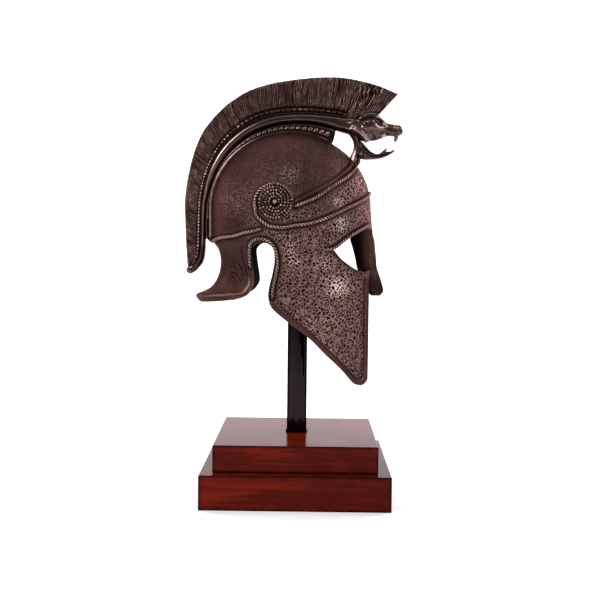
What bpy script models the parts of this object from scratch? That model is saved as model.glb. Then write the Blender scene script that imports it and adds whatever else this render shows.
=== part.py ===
"""Greek helmet with a tall hair crest in a serpent holder, on a plain post and a two-tier wooden base.

The origin is the centre of the base's underside, +Z is up and +X is the way the helmet faces.
"""
import math
from bisect import bisect

import bmesh
import bpy
from mathutils import Matrix, Vector

# Driving dimensions, in metres
BASE_WIDTH = 0.280
BASE_HEIGHT = 0.051
PLINTH_WIDTH = 0.243
PLINTH_HEIGHT = 0.040
WOOD_BEVEL = 0.0015
POST_DIAMETER = 0.031
COLLAR_DIAMETER = 0.034
COLLAR_HEIGHT = 0.004
CHIN_CLEARANCE = 0.075
HELMET_SETBACK = 0.012
HELMET_LENGTH = 0.248
HELMET_WIDTH = 0.204
BOWL_RISE = 0.117
FACE_HEIGHT = 0.274
SHELL_WALL = 0.006
NASAL_WIDTH = 0.024
FACE_SLIT = 0.036
CREST_HEIGHT = 0.081
CREST_WIDTH = 0.037
BRUSH_WIDTH = 0.018
JAW_LENGTH = 0.104
HEAD_WIDTH = 0.034
FANG_LENGTH = 0.008
FANG_ROOT = 0.0044
FANG_TIP = 0.0006
ROPE_DIAMETER = 0.0046
RIM_DIAMETER = 0.0030
ROSETTE_DIAMETER = 0.056
ROSETTE_PLATE = 0.0015
SPIRAL_PITCH = 0.0046
SPIRAL_WIRE = 0.0034
GAP = 0.0003
SEAT_MARGIN = 2 * GAP

# Places that follow from them
PLINTH_TOP = BASE_HEIGHT + GAP + PLINTH_HEIGHT
RING_HEIGHT = PLINTH_TOP + CHIN_CLEARANCE + FACE_HEIGHT
CUT_REACH = 2 * HELMET_WIDTH
SIDES = (("right", -1), ("left", 1))

# Front half below the ring: share of the face's drop, forward reach, half width, roundness
FACE_ROWS = (
    (0.00, 0.500, 0.500, 2.00),
    (0.12, 0.512, 0.500, 1.90),
    (0.22, 0.524, 0.490, 1.75),
    (0.35, 0.528, 0.480, 1.62),
    (0.51, 0.528, 0.461, 1.58),
    (0.69, 0.532, 0.420, 1.55),
    (0.88, 0.536, 0.363, 1.55),
    (1.08, 0.540, 0.300, 1.55),
)
# Back half below the ring: share of the face's drop, backward reach, half width
NAPE_ROWS = (
    (0.00, 0.500, 0.500),
    (0.07, 0.500, 0.500),
    (0.13, 0.498, 0.499),
    (0.19, 0.488, 0.494),
    (0.23, 0.456, 0.484),
    (0.29, 0.440, 0.474),
    (0.35, 0.444, 0.470),
    (0.41, 0.468, 0.475),
    (0.45, 0.504, 0.485),
    (0.47, 0.544, 0.495),
    (0.49, 0.593, 0.510),
    (0.53, 0.565, 0.510),
    (0.60, 0.500, 0.505),
    (1.08, 0.480, 0.480),
)
# Side view of the lower edge, from the nape to the brow: forward share of the length, drop share
NECK_EDGE = (
    (-0.565, 0.529), (-0.452, 0.518), (-0.387, 0.511), (-0.310, 0.500), (-0.258, 0.482),
    (-0.230, 0.456), (-0.210, 0.423), (-0.210, 0.383), (-0.218, 0.336), (-0.226, 0.285),
)
EAR_EDGE = (
    (-0.230, 0.234), (-0.206, 0.204), (-0.173, 0.193), (-0.137, 0.197), (-0.109, 0.212),
    (-0.093, 0.237), (-0.089, 0.292), (-0.101, 0.361), (-0.117, 0.420), (-0.125, 0.478),
)
CHEEK_EDGE = (
    (-0.113, 0.529), (-0.081, 0.566), (-0.004, 0.624), (0.121, 0.712), (0.222, 0.807), (0.319, 0.894),
    (0.387, 0.967), (0.419, 0.987), (0.452, 0.993), (0.476, 0.982), (0.492, 0.960), (0.492, 0.340),
)
EYE_EDGE = (
    (0.262, 0.226), (0.290, 0.259), (0.319, 0.285), (0.375, 0.321), (0.415, 0.343), (0.456, 0.352),
    (0.560, 0.340), (0.560, 0.113), (0.460, 0.113), (0.427, 0.120), (0.383, 0.150), (0.331, 0.179),
    (0.290, 0.201),
)
# Nose guard: drop share, then front, side and back as shares of the length, and share of its width
NASAL_ROWS = (
    (0.085, 0.490, 0.440, 0.370, 1.20),
    (0.164, 0.524, 0.462, 0.372, 1.05),
    (0.223, 0.532, 0.462, 0.390, 1.00),
    (0.285, 0.540, 0.466, 0.408, 1.00),
    (0.325, 0.544, 0.474, 0.416, 1.00),
    (0.375, 0.562, 0.488, 0.440, 1.15),
    (0.420, 0.578, 0.498, 0.458, 1.25),
    (0.464, 0.587, 0.516, 0.484, 1.10),
    (0.489, 0.565, 0.536, 0.510, 0.70),
)
# Crest, by degrees from straight ahead: shares of the crest's height above the bowl
BRUSH_ROWS = (
    (47.5, 0.985, 1.500), (50, 0.900, 1.460), (52.5, 0.760, 1.430), (55, 0.600, 1.395), (57.5, 0.510, 1.360),
    (59.4, 0.500, 1.335), (60, 0.645, 1.325), (70, 0.584, 1.206), (80, 0.527, 1.084), (90, 0.500, 1.000),
    (100, 0.490, 0.957), (110, 0.484, 0.927), (120, 0.453, 0.872), (130, 0.406, 0.805), (140, 0.361, 0.735),
    (150, 0.316, 0.642), (160, 0.281, 0.562), (170, 0.264, 0.521), (180, 0.267, 0.511), (190, 0.282, 0.505),
    (200, 0.310, 0.511), (204, 0.315, 0.514), (207, 0.340, 0.517), (209, 0.395, 0.518), (210.5, 0.475, 0.517),
)
SERPENT_ROWS = (
    (60, 0.255, 0.555), (70, 0.214, 0.463), (80, 0.184, 0.408), (90, 0.161, 0.374), (100, 0.145, 0.367),
    (110, 0.130, 0.364), (120, 0.118, 0.345), (130, 0.095, 0.319), (140, 0.078, 0.289), (150, 0.062, 0.252),
    (160, 0.050, 0.219), (170, 0.058, 0.192), (180, 0.086, 0.197), (190, 0.106, 0.203), (200, 0.108, 0.218),
    (204, 0.113, 0.245), (207, 0.122, 0.275), (209, 0.135, 0.330), (210.5, 0.155, 0.410), (210.9, 0.162, 0.495),
    (212, 0.190, 0.510), (213.4, 0.300, 0.475),
)
CREST_ANGLES = tuple(60 + 7.5 * step for step in range(19)) + (200, 204, 207, 209, 210.5)
BAND_ANGLES = (60.3,) + CREST_ANGLES[1:]
BRUSH_ANGLES = (47.5, 50, 52.5, 55, 57.5, 59.4, 60) + BAND_ANGLES
SERPENT_ANGLES = CREST_ANGLES + (210.9, 212, 213.4)
# Saddle that carries the serpent: degrees and share of its width, round at the front
SADDLE_ROWS = (
    (58.5, 0.30), (60, 0.55), (63, 0.80), (67.5, 0.95), (75, 1.00), (180, 1.00), (190, 0.92), (199, 0.75),
)
# Serpent's upper head: throat and crown as forward share of the jaw and share of the crest, and width
HEAD_ROWS = (
    (0.166, 0.148, 0.205, 0.480, 0.80),
    (0.272, 0.062, 0.291, 0.470, 0.90),
    (0.378, 0.019, 0.378, 0.525, 1.00),
    (0.464, 0.019, 0.464, 0.562, 1.00),
    (0.570, 0.031, 0.570, 0.556, 0.92),
    (0.657, 0.068, 0.647, 0.488, 0.78),
    (0.753, 0.117, 0.734, 0.380, 0.65),
    (0.859, 0.117, 0.839, 0.346, 0.56),
    (0.945, 0.136, 0.940, 0.327, 0.42),
    (0.984, 0.185, 0.974, 0.272, 0.22),
)
# Lower jaw: inside and underside as shares of the jaw and crest, and width
JAW_ROWS = (
    (0.290, 0.070, 0.320, -0.300, 0.56),
    (0.379, 0.000, 0.385, -0.328, 0.68),
    (0.442, -0.080, 0.456, -0.333, 0.72),
    (0.500, -0.160, 0.520, -0.331, 0.72),
    (0.580, -0.214, 0.610, -0.321, 0.64),
    (0.660, -0.204, 0.710, -0.286, 0.54),
    (0.725, -0.172, 0.791, -0.237, 0.42),
    (0.800, -0.168, 0.849, -0.182, 0.24),
    (0.854, -0.130, 0.868, -0.140, 0.12),
)
# Stem under the throat: back and front as shares of the jaw, height share of the crest, and width
STEM_ROWS = (
    (0.140, 0.290, -0.500, 0.62),
    (0.170, 0.358, -0.385, 0.56),
    (0.205, 0.354, -0.272, 0.46),
    (0.248, 0.354, -0.136, 0.42),
    (0.243, 0.349, 0.012, 0.50),
    (0.176, 0.368, 0.148, 0.60),
)
# Fangs: forward share of the jaw, height share of the crest, sideways share of the head, up or down
FANG_ROWS = ((0.880, 0.130, 0.18, -1), (0.750, -0.185, 0.13, 1))
# Ropes: degrees round the ring from the front, and height share of the rise or, below the ring, the drop
ROPE_ROWS = {
    "temple_rope": (
        (115, 0.15), (115, 0.03), (114, -0.04), (111, -0.08), (105, -0.10), (99, -0.11), (93, -0.11),
        (86, -0.10), (77, -0.09), (68, -0.07), (59, -0.04), (47, 0.00), (37, 0.06), (24, 0.13), (9, 0.20),
        (0, 0.22),
    ),
    "nape_rope": (
        (110, -0.12), (115, -0.13), (122, -0.14), (133, -0.16), (143, -0.165), (156, -0.175), (168, -0.185),
        (180, -0.19),
    ),
    "brow_rope": (
        (86.5, 0.00), (82, 0.04), (75, 0.09), (68, 0.16), (62, 0.23), (52, 0.32), (44, 0.38), (36, 0.44),
        (24, 0.52), (14, 0.57),
    ),
    "brow_strand": (
        (86.5, 0.06), (81, 0.12), (75, 0.17), (61, 0.29), (51, 0.38), (41, 0.47), (28, 0.56), (17, 0.62),
    ),
    "ear_rope": (
        (122, -0.33), (122.5, -0.28), (121.5, -0.23), (118, -0.195), (113, -0.175), (108, -0.175),
        (103.5, -0.19), (101, -0.22), (99.5, -0.26), (99, -0.31), (100, -0.36), (101, -0.41), (101, -0.45),
        (99.5, -0.49),
    ),
    "eye_rope": ((66, -0.23), (57, -0.22), (48, -0.17), (41, -0.14), (30, -0.11), (20, -0.09)),
    "cheek_rim": (
        (97, -0.53), (88, -0.58), (71, -0.68), (59, -0.77), (47, -0.86), (38, -0.93), (34, -0.95), (30, -0.95),
        (28, -0.93), (27, -0.88), (26.5, -0.80), (26, -0.51), (26, -0.38),
    ),
}
JOINED_ROPES = ("temple_rope", "nape_rope")
ROSETTE_PLACE = (-0.089, 0.06)

# Materials: colour, roughness and how metallic
BRONZE = ((0.105, 0.060, 0.050), 0.42, 1.0)
WORN_BRONZE = ((0.190, 0.115, 0.100), 0.36, 1.0)
DARK_BRONZE = ((0.045, 0.032, 0.030), 0.50, 1.0)
STEEL = ((0.020, 0.016, 0.017), 0.22, 0.9)
WOOD = ((0.130, 0.022, 0.010), 0.25, 0.0)


def clear_scene():
    for old in list(bpy.data.objects):
        bpy.data.objects.remove(old, do_unlink=True)


def add_part(name, shape, look, smooth_angle=30):
    """Turns a bmesh into a named object with a material of its own."""
    bmesh.ops.recalc_face_normals(shape, faces=shape.faces)
    mesh = bpy.data.meshes.new(name)
    shape.to_mesh(mesh)
    shape.free()
    colour, roughness, metallic = look
    material = bpy.data.materials.new(name)
    material.use_nodes = True
    surface = material.node_tree.nodes["Principled BSDF"]
    surface.inputs["Base Color"].default_value = (*colour, 1)
    surface.inputs["Roughness"].default_value = roughness
    surface.inputs["Metallic"].default_value = metallic
    mesh.materials.append(material)
    part = bpy.data.objects.new(name, mesh)
    bpy.context.collection.objects.link(part)
    shade(part, smooth_angle)
    return part


def shade(part, smooth_angle):
    part.data.shade_smooth()
    part.data.set_sharp_from_angle(angle=math.radians(smooth_angle))


def combine(part, other, operation, smooth_angle=30):
    """Joins, cuts or keeps the overlap with another solid, which is then removed."""
    step = part.modifiers.new("combine", "BOOLEAN")
    step.operation = operation
    step.solver = "EXACT"
    step.object = other
    bpy.context.view_layer.update()
    evaluated = part.evaluated_get(bpy.context.evaluated_depsgraph_get())
    mesh = bpy.data.meshes.new_from_object(evaluated)
    part.modifiers.clear()
    part.data = mesh
    bpy.data.objects.remove(other, do_unlink=True)
    shape = bmesh.new()
    shape.from_mesh(mesh)
    bmesh.ops.dissolve_degenerate(shape, edges=shape.edges, dist=0.00002)
    bmesh.ops.triangulate(shape, faces=[face for face in shape.faces if len(face.verts) > 4])
    shape.to_mesh(mesh)
    shape.free()
    shade(part, smooth_angle)


def loft(rings, closed=False):
    """Skins rings of points into a closed solid, with flat ends unless it runs round."""
    shape = bmesh.new()
    loops = [[shape.verts.new(point) for point in ring] for ring in rings]
    pairs = list(zip(loops, loops[1:]))
    if closed:
        pairs.append((loops[-1], loops[0]))
    for low, high in pairs:
        for index in range(len(low)):
            after = (index + 1) % len(low)
            shape.faces.new((low[index], low[after], high[after], high[index]))
    if not closed:
        shape.faces.new(loops[0])
        shape.faces.new(loops[-1])
    return shape


def prism(outline, low, high):
    """Extrudes a side-view outline of (x, z) points across the helmet."""
    return loft([[(x, y, z) for x, z in outline] for y in (low, high)])


def between(rows, share):
    """Reads a table's columns at a value between its rows, on a smooth curve through them."""
    keys = [row[0] for row in rows]
    index = min(max(bisect(keys, share) - 1, 0), len(rows) - 2)
    before, low, high, after = (rows[min(max(index + step, 0), len(rows) - 1)] for step in (-1, 0, 1, 2))
    span = high[0] - low[0]
    part = min(max((share - low[0]) / span, 0), 1)
    values = []
    for column in range(1, len(low)):
        leave = (high[column] - before[column]) / (high[0] - before[0]) * span
        arrive = (after[column] - low[column]) / (after[0] - low[0]) * span
        start, end = low[column], high[column]
        bend = 3 * (end - start) - 2 * leave - arrive
        turn = leave + arrive - 2 * (end - start)
        values.append(start + leave * part + bend * part**2 + turn * part**3)
    return values


def ring_sizes(height, inset):
    """Reaches, half widths and roundness of the shell's section at a height above the ring."""
    half_length, half_width = HELMET_LENGTH / 2, HELMET_WIDTH / 2
    if height >= 0:
        rise = min(height / (BOWL_RISE - inset), 1)
        share = math.sqrt(1 - rise * rise)
        return (half_length - inset) * share, (half_length - inset) * share, (half_width - inset) * share, \
            (half_width - inset) * share, 2.0
    drop = -height / FACE_HEIGHT
    roundness = between(FACE_ROWS, drop)[2]
    offsets = (0,) if inset <= 0 else (-0.9, -0.6, -0.3, 0, 0.3, 0.6, 0.9)
    sizes = []
    for offset in offsets:
        near = max(drop + offset * inset / FACE_HEIGHT, 0)
        side = inset * math.sqrt(1 - offset * offset)
        front, front_width, _ = between(FACE_ROWS, near)
        back, back_width = between(NAPE_ROWS, near)
        sizes.append((
            HELMET_LENGTH * front - side, HELMET_LENGTH * back - side,
            HELMET_WIDTH * front_width - side, HELMET_WIDTH * back_width - side,
        ))
    return *(min(column) for column in zip(*sizes)), roundness


def shell_point(degrees, height, inset=0.0):
    """A point of the helmet's surface, by degrees round the ring from the front (positive is left)."""
    front, back, front_width, back_width, roundness = ring_sizes(height, inset)
    turn = math.radians(degrees)
    ahead, aside = math.cos(turn), abs(math.sin(turn))
    if ahead >= 0:
        x = front * ahead ** (2 / roundness)
        y = front_width * aside ** (2 / roundness)
    else:
        blend = min((math.degrees(math.acos(ahead)) - 90) / 25, 1)
        blend = blend * blend * (3 - 2 * blend)
        x = back * ahead
        y = (front_width + (back_width - front_width) * blend) * aside
    return Vector((x - HELMET_SETBACK, math.copysign(y, math.sin(turn)), RING_HEIGHT + height))


def surface_point(degrees, share, lift=0.0):
    """A point at a height share, lifted off the surface along its normal."""
    height = share * (BOWL_RISE if share > 0 else FACE_HEIGHT)
    step = 0.0005
    middle = shell_point(degrees, height)
    across = shell_point(degrees + 0.3, height) - shell_point(degrees - 0.3, height)
    along = shell_point(degrees, height + step) - shell_point(degrees, height - step)
    normal = across.cross(along).normalized()
    return middle + normal * lift, normal


def degrees_at(forward, height):
    """Degrees round the ring of a place given by its forward distance from the ring's centre."""
    front, back, _, _, roundness = ring_sizes(height, 0)
    if forward >= 0:
        return math.degrees(math.acos(min(forward / front, 1) ** (roundness / 2)))
    return 180 - math.degrees(math.acos(min(-forward / back, 1)))


def shell_solid(inset, around, tilts, drops):
    """A closed solid of the shell's outer form, or of its hollow when it is inset."""
    heights = [(BOWL_RISE - inset) * math.sin(math.radians(tilt)) for tilt in tilts]
    heights += [-FACE_HEIGHT * drop for drop in drops]
    rings = [[shell_point(360 * step / around, height, inset) for step in range(around)] for height in heights]
    shape = bmesh.new()
    loops = [[shape.verts.new(point) for point in ring] for ring in rings]
    top = shape.verts.new((-HELMET_SETBACK, 0, RING_HEIGHT + BOWL_RISE - inset))
    for high, low in zip(loops, loops[1:]):
        for index in range(around):
            after = (index + 1) % around
            shape.faces.new((high[index], high[after], low[after], low[index]))
    for index in range(around):
        shape.faces.new((top, loops[0][(index + 1) % around], loops[0][index]))
    shape.faces.new(loops[-1])
    return shape


OUTER_GRID = (
    36, (76, 63, 51, 40, 30, 20, 10, 0),
    (0.06, 0.12, 0.17, 0.21, 0.25, 0.30, 0.35, 0.40, 0.44, 0.465, 0.49, 0.53, 0.61, 0.72, 0.84, 0.96, 1.08),
)
INNER_GRID = (
    26, (72, 54, 36, 18, 0),
    (0.09, 0.17, 0.22, 0.29, 0.36, 0.43, 0.47, 0.50, 0.56, 0.74, 0.92, 1.12),
)


def clearance():
    """The shell's outer form with the gap that touching pieces keep to it."""
    return add_part("clearance", shell_solid(-GAP, *OUTER_GRID), BRONZE)


def edge_points(rows):
    return [(HELMET_LENGTH * x - HELMET_SETBACK, RING_HEIGHT - FACE_HEIGHT * drop) for x, drop in rows]


def make_shell():
    shell = add_part("helmet_shell", shell_solid(0, *OUTER_GRID), BRONZE)
    combine(shell, add_part("hollow", shell_solid(SHELL_WALL, *INNER_GRID), BRONZE), "DIFFERENCE")
    edge = edge_points(NECK_EDGE + EAR_EDGE + CHEEK_EDGE)
    beyond, under = HELMET_LENGTH, RING_HEIGHT - 1.2 * FACE_HEIGHT
    outline = [(-beyond, under), (-beyond, edge[0][1])] + edge + [(beyond, edge[-1][1]), (beyond, under)]
    combine(shell, add_part("lower_cut", prism(outline, -CUT_REACH, CUT_REACH), BRONZE), "DIFFERENCE")
    front, brow = edge[-1]
    slit = [(beyond, under), (beyond, brow), (0.6 * front, brow), (0.6 * front, under)]
    combine(shell, add_part("slit_cut", prism(slit, -FACE_SLIT / 2, FACE_SLIT / 2), BRONZE), "DIFFERENCE")
    for _, side in SIDES:
        span = sorted((side * NASAL_WIDTH / 2, side * CUT_REACH))
        combine(shell, add_part("eye_cut", prism(edge_points(EYE_EDGE), *span), BRONZE), "DIFFERENCE")
    rings = []
    for drop, front, middle, back, width in NASAL_ROWS:
        half = width * NASAL_WIDTH / 2
        places = ((front, 0.12), (front - 0.015, 0.55), (middle, 1), (back, 0.8))
        height = RING_HEIGHT - FACE_HEIGHT * drop
        near = [(HELMET_LENGTH * x - HELMET_SETBACK, half * y, height) for x, y in places]
        rings.append(near + [(x, -y, z) for x, y, z in reversed(near)])
    combine(shell, add_part("nasal", loft(rings), BRONZE), "UNION")
    return shell


def bowl_radius(degrees):
    """Distance from the ring's centre to the bowl in the side view, straight down behind it."""
    turn = math.radians(degrees)
    half = HELMET_LENGTH / 2
    if degrees > 180:
        return half / abs(math.cos(turn))
    return half * BOWL_RISE / math.hypot(BOWL_RISE * math.cos(turn), half * math.sin(turn))


def crest_point(degrees, rise, aside):
    """A point of the crest by its angle, its height above the bowl and its distance from the middle."""
    turn = math.radians(degrees)
    radius = bowl_radius(degrees) + rise
    return (radius * math.cos(turn) - HELMET_SETBACK, aside, RING_HEIGHT + radius * math.sin(turn))


def crest_loft(angles, half_profile):
    """Skins a crest piece from half sections of (rise, distance aside) at each angle."""
    rings = []
    for degrees in angles:
        near = [(rise, aside) for rise, aside in half_profile(degrees)]
        section = near + [(rise, -aside) for rise, aside in reversed(near)]
        rings.append([crest_point(degrees, rise, aside) for rise, aside in section])
    return loft(rings)


def serpent_span(degrees):
    return [CREST_HEIGHT * share for share in between(SERPENT_ROWS, degrees)]


def brush_span(degrees):
    return [CREST_HEIGHT * share for share in between(BRUSH_ROWS, degrees)]


def make_brush():
    half = BRUSH_WIDTH / 2

    def section(degrees):
        root, top = brush_span(degrees)
        middle = root + 0.55 * (top - root)
        return (root, half), (middle, 0.9 * half), (top - 0.003, 0.8 * half), (top, 0.5 * half)

    brush = add_part("crest_brush", crest_loft(BRUSH_ANGLES, section), DARK_BRONZE)
    seat = [body_ring(degrees, SEAT_MARGIN) for degrees in (75, 67.5, 60)] + head_loft(HEAD_ROWS, SEAT_MARGIN)
    combine(brush, add_part("seat", loft(seat), WORN_BRONZE), "DIFFERENCE")
    return brush


def make_bead_band():
    half = 0.56 * CREST_WIDTH / 2

    def section(degrees):
        low = serpent_span(degrees)[1] + GAP
        high = brush_span(degrees)[0] - GAP
        return (low, half), (high, 0.92 * half)

    return add_part("crest_band", crest_loft(BAND_ANGLES, section), BRONZE)


RIM_SHARE = -0.03
RIM_HEIGHT = 0.0045


def make_saddle():
    def section(degrees):
        half = between(SADDLE_ROWS, degrees)[0] * CREST_WIDTH / 2
        rim = CREST_HEIGHT * RIM_SHARE + RIM_HEIGHT
        high = max(serpent_span(max(degrees, 60))[0] - GAP, rim + 0.0012)
        return (-SHELL_WALL, half), (rim - 0.002, half), (rim, 0.92 * half), (high, 0.68 * half)

    angles = (58.5, 60, 63) + CREST_ANGLES[1:18] + (195, 199)
    saddle = add_part("crest_saddle", crest_loft(angles, section), BRONZE)
    combine(saddle, clearance(), "DIFFERENCE")
    return saddle


def make_bead_row(name, side):
    """A plain strip for the row of large beads on the saddle's flank."""
    rings = []
    for degrees in CREST_ANGLES[1:18]:
        half = between(SADDLE_ROWS, degrees)[0] * CREST_WIDTH / 2
        rim = CREST_HEIGHT * RIM_SHARE + RIM_HEIGHT
        high = max(serpent_span(degrees)[0] - GAP, rim + 0.0012)
        flank = Vector((high - rim, -0.24 * half))
        out = Vector((0.24 * half, high - rim)).normalized()
        start = Vector((rim, 0.92 * half)) + out * 2 * GAP
        low, top = start + flank * 0.04, start + flank * 0.94
        corners = (low, top, top + out * 0.0022 - flank * 0.08, low + out * 0.0022 + flank * 0.08)
        rings.append([crest_point(degrees, rise, side * aside) for rise, aside in corners])
    return add_part(name, loft(rings), WORN_BRONZE)


def head_point(forward, rise, aside):
    """A point of the serpent's head: shares of the jaw's length and the crest's height, and metres aside."""
    foot = Vector(crest_point(60, serpent_span(60)[0], 0))
    base = RING_HEIGHT + BOWL_RISE - 0.16 * CREST_HEIGHT
    return (foot.x + JAW_LENGTH * forward, aside, base + CREST_HEIGHT * rise)


def eight_sided(low, high, half):
    """A ring round a line from a low to a high point, round in section."""
    low, high = Vector(low), Vector(high)
    ring = []
    for share, width in ((0, 0.45), (0.22, 0.90), (0.60, 1.0), (0.88, 0.72)):
        ring.append(low.lerp(high, share) + Vector((0, width * half, 0)))
    ring.append(high + Vector((0, 0.30 * half, 0)))
    return ring + [Vector((x, -y, z)) for x, y, z in reversed(ring)]


def head_loft(rows, margin=0.0):
    """Rings of the head or the jaw, larger by a margin where something is seated on it."""
    rings = []
    for low_x, low_z, high_x, high_z, width in rows:
        low = Vector(head_point(low_x, low_z, 0)) - Vector((0, 0, margin))
        high = Vector(head_point(high_x, high_z, 0)) + Vector((0, 0, 2 * margin))
        rings.append(eight_sided(low, high, width * HEAD_WIDTH / 2 + 2 * margin))
    return rings


def body_ring(degrees, margin=0.0):
    """A section of the serpent's body, narrower towards the tail."""
    low, high = serpent_span(degrees)
    low, high = low - margin, high + 2 * margin
    fade = min((SERPENT_ANGLES[-1] - degrees) / 30, 1)
    half = (0.60 + 0.12 * fade) * CREST_WIDTH / 2 + 2 * margin
    bend = 0.3 * (high - low)
    places = ((low, 0.62), (low + bend, 1), (high - bend, 1), (high, 0.72), (high, 0.40))
    near = [crest_point(degrees, rise, half * share) for rise, share in places]
    return near + [(x, -y, z) for x, y, z in reversed(near)]


def make_serpent():
    body = [body_ring(degrees) for degrees in reversed(SERPENT_ANGLES)]
    serpent = add_part("serpent", loft(body + head_loft(HEAD_ROWS)), WORN_BRONZE, 50)
    combine(serpent, add_part("jaw", loft(head_loft(JAW_ROWS)), WORN_BRONZE), "UNION", 50)
    stem = []
    for back, front, rise, width in STEM_ROWS:
        half = width * HEAD_WIDTH / 2
        bend = 0.2 * (front - back)
        corners = ((back, 0.7), (back + bend, 1), (front - bend, 1), (front, 0.7))
        near = [head_point(forward, rise, half * share) for forward, share in corners]
        stem.append(near + [(x, -y, z) for x, y, z in reversed(near)])
    combine(serpent, add_part("stem", loft(stem), WORN_BRONZE), "UNION", 50)
    for forward, rise, aside, up in FANG_ROWS:
        for _, side in SIDES:
            fang = bmesh.new()
            bmesh.ops.create_cone(
                fang, cap_ends=True, segments=6, radius1=FANG_ROOT / 2, radius2=FANG_TIP / 2,
                depth=FANG_LENGTH + 0.003,
            )
            if up < 0:
                bmesh.ops.rotate(fang, verts=fang.verts, matrix=Matrix.Rotation(math.pi, 3, "X"))
            place = Vector(head_point(forward, rise, side * aside * HEAD_WIDTH))
            bmesh.ops.translate(fang, verts=fang.verts, vec=place + Vector((0, 0, up * FANG_LENGTH / 2)))
            combine(serpent, add_part("fang", fang, WORN_BRONZE), "UNION", 50)
    combine(serpent, clearance(), "DIFFERENCE", 50)
    return serpent


def rope_route(rows, steps):
    """Points on a smooth curve through a rope's rows."""
    table = [(index, *row) for index, row in enumerate(rows)]
    count = (len(rows) - 1) * steps
    return [between(table, index / steps) for index in range(count + 1)]


def tube(centres, normals, radius, sides):
    """A round strand along points, with its section square to the route."""
    rings = []
    for index, centre in enumerate(centres):
        before, after = centres[max(index - 1, 0)], centres[min(index + 1, len(centres) - 1)]
        along = (after - before).normalized()
        out = (normals[index] - along * normals[index].dot(along)).normalized()
        aside = along.cross(out)
        ring = []
        for step in range(sides):
            turn = 2 * math.pi * step / sides
            ring.append(centre + out * radius * math.cos(turn) + aside * radius * math.sin(turn))
        rings.append(ring)
    return loft(rings)


def make_rope(name, rows, side, joined, diameter, sides, steps):
    """A strand on the shell, on one side or right round from one side to the other."""
    route = rope_route(rows, steps)
    if joined:
        last = rows[-1][0]
        route += [(2 * last - degrees, share) for degrees, share in reversed(route[:-1])]
    points = [surface_point(side * degrees, share, 0.25 * diameter) for degrees, share in route]
    shape = tube([point for point, _ in points], [normal for _, normal in points], diameter / 2, sides)
    rope = add_part(name, shape, WORN_BRONZE, 80)
    combine(rope, clearance(), "DIFFERENCE", 80)
    return rope


def side_point(x, z, side, lift):
    """A point on the shell's side at a side-view place."""
    height = z - RING_HEIGHT
    degrees = degrees_at(x + HELMET_SETBACK, height)
    return surface_point(side * degrees, height / (BOWL_RISE if height > 0 else FACE_HEIGHT), lift)


def make_rosette(name, side):
    centre_x = HELMET_LENGTH * ROSETTE_PLACE[0] - HELMET_SETBACK
    centre_z = RING_HEIGHT + BOWL_RISE * ROSETTE_PLACE[1]

    def place(radius, turn, lift):
        return side_point(centre_x + radius * math.cos(turn), centre_z + radius * math.sin(turn), side, lift)

    rings = []
    for share, lift in ((0.02, -0.003), (1, -0.003), (1, ROSETTE_PLATE), (0.02, ROSETTE_PLATE)):
        radius = share * ROSETTE_DIAMETER / 2
        rings.append([place(radius, 2 * math.pi * step / 22, lift)[0] for step in range(22)])
    rosette = add_part(name, loft(rings), WORN_BRONZE, 80)
    turns = (ROSETTE_DIAMETER / 2 - SPIRAL_WIRE) / SPIRAL_PITCH
    count = int(11 * turns)
    spiral = []
    for index in range(count + 1):
        turn = 2 * math.pi * index / 11
        spiral.append(place(SPIRAL_WIRE / 2 + SPIRAL_PITCH * turn / (2 * math.pi), turn, ROSETTE_PLATE))
    shape = tube([point for point, _ in spiral], [normal for _, normal in spiral], SPIRAL_WIRE / 2, 4)
    combine(rosette, add_part("spiral", shape, WORN_BRONZE), "UNION", 80)
    combine(rosette, clearance(), "DIFFERENCE", 80)
    return rosette


def make_tier(name, width, height, low):
    shape = bmesh.new()
    bmesh.ops.create_cube(shape, size=1)
    bmesh.ops.scale(shape, verts=shape.verts, vec=(width, width, height))
    bmesh.ops.translate(shape, verts=shape.verts, vec=(0, 0, low + height / 2))
    edges = [edge for edge in shape.edges if edge.verts[0].co.z > low or edge.verts[1].co.z > low]
    bmesh.ops.bevel(shape, geom=edges, offset=WOOD_BEVEL, segments=2, profile=0.5, affect="EDGES")
    return add_part(name, shape, WOOD)


def make_post():
    """The post with its foot collar, shaped at its top to the inside of the crown."""
    foot = PLINTH_TOP + GAP
    profile = (
        (COLLAR_DIAMETER / 2, foot), (COLLAR_DIAMETER / 2, foot + COLLAR_HEIGHT - 0.001),
        (POST_DIAMETER / 2, foot + COLLAR_HEIGHT), (POST_DIAMETER / 2, RING_HEIGHT + BOWL_RISE),
    )
    count = 32
    turns = [2 * math.pi * step / count for step in range(count)]
    rings = [[(radius * math.cos(turn), radius * math.sin(turn), z) for turn in turns] for radius, z in profile]
    post = add_part("post", loft(rings), STEEL)
    around, tilts, drops = INNER_GRID
    long_drops = drops + (2,)
    hollow = shell_solid(SHELL_WALL + GAP, around, tilts, long_drops)
    combine(post, add_part("hollow", hollow, STEEL), "INTERSECT")
    return post


def build():
    clear_scene()
    make_tier("base", BASE_WIDTH, BASE_HEIGHT, 0)
    make_tier("plinth", PLINTH_WIDTH, PLINTH_HEIGHT, BASE_HEIGHT + GAP)
    make_post()
    make_shell()
    make_saddle()
    make_serpent()
    make_bead_band()
    make_brush()
    for name, side in SIDES:
        make_bead_row(f"bead_row_{name}", side)
        make_rosette(f"rosette_{name}", side)
    for name, rows in ROPE_ROWS.items():
        thin = name == "cheek_rim"
        diameter = RIM_DIAMETER if thin else ROPE_DIAMETER
        if name in JOINED_ROPES:
            make_rope(name, rows, 1, True, diameter, 6, 1 if len(rows) > 12 else 2)
            continue
        for hand, side in SIDES:
            make_rope(f"{name}_{hand}", rows, side, False, diameter, 5, 1 if thin else 2)


build()
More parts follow.
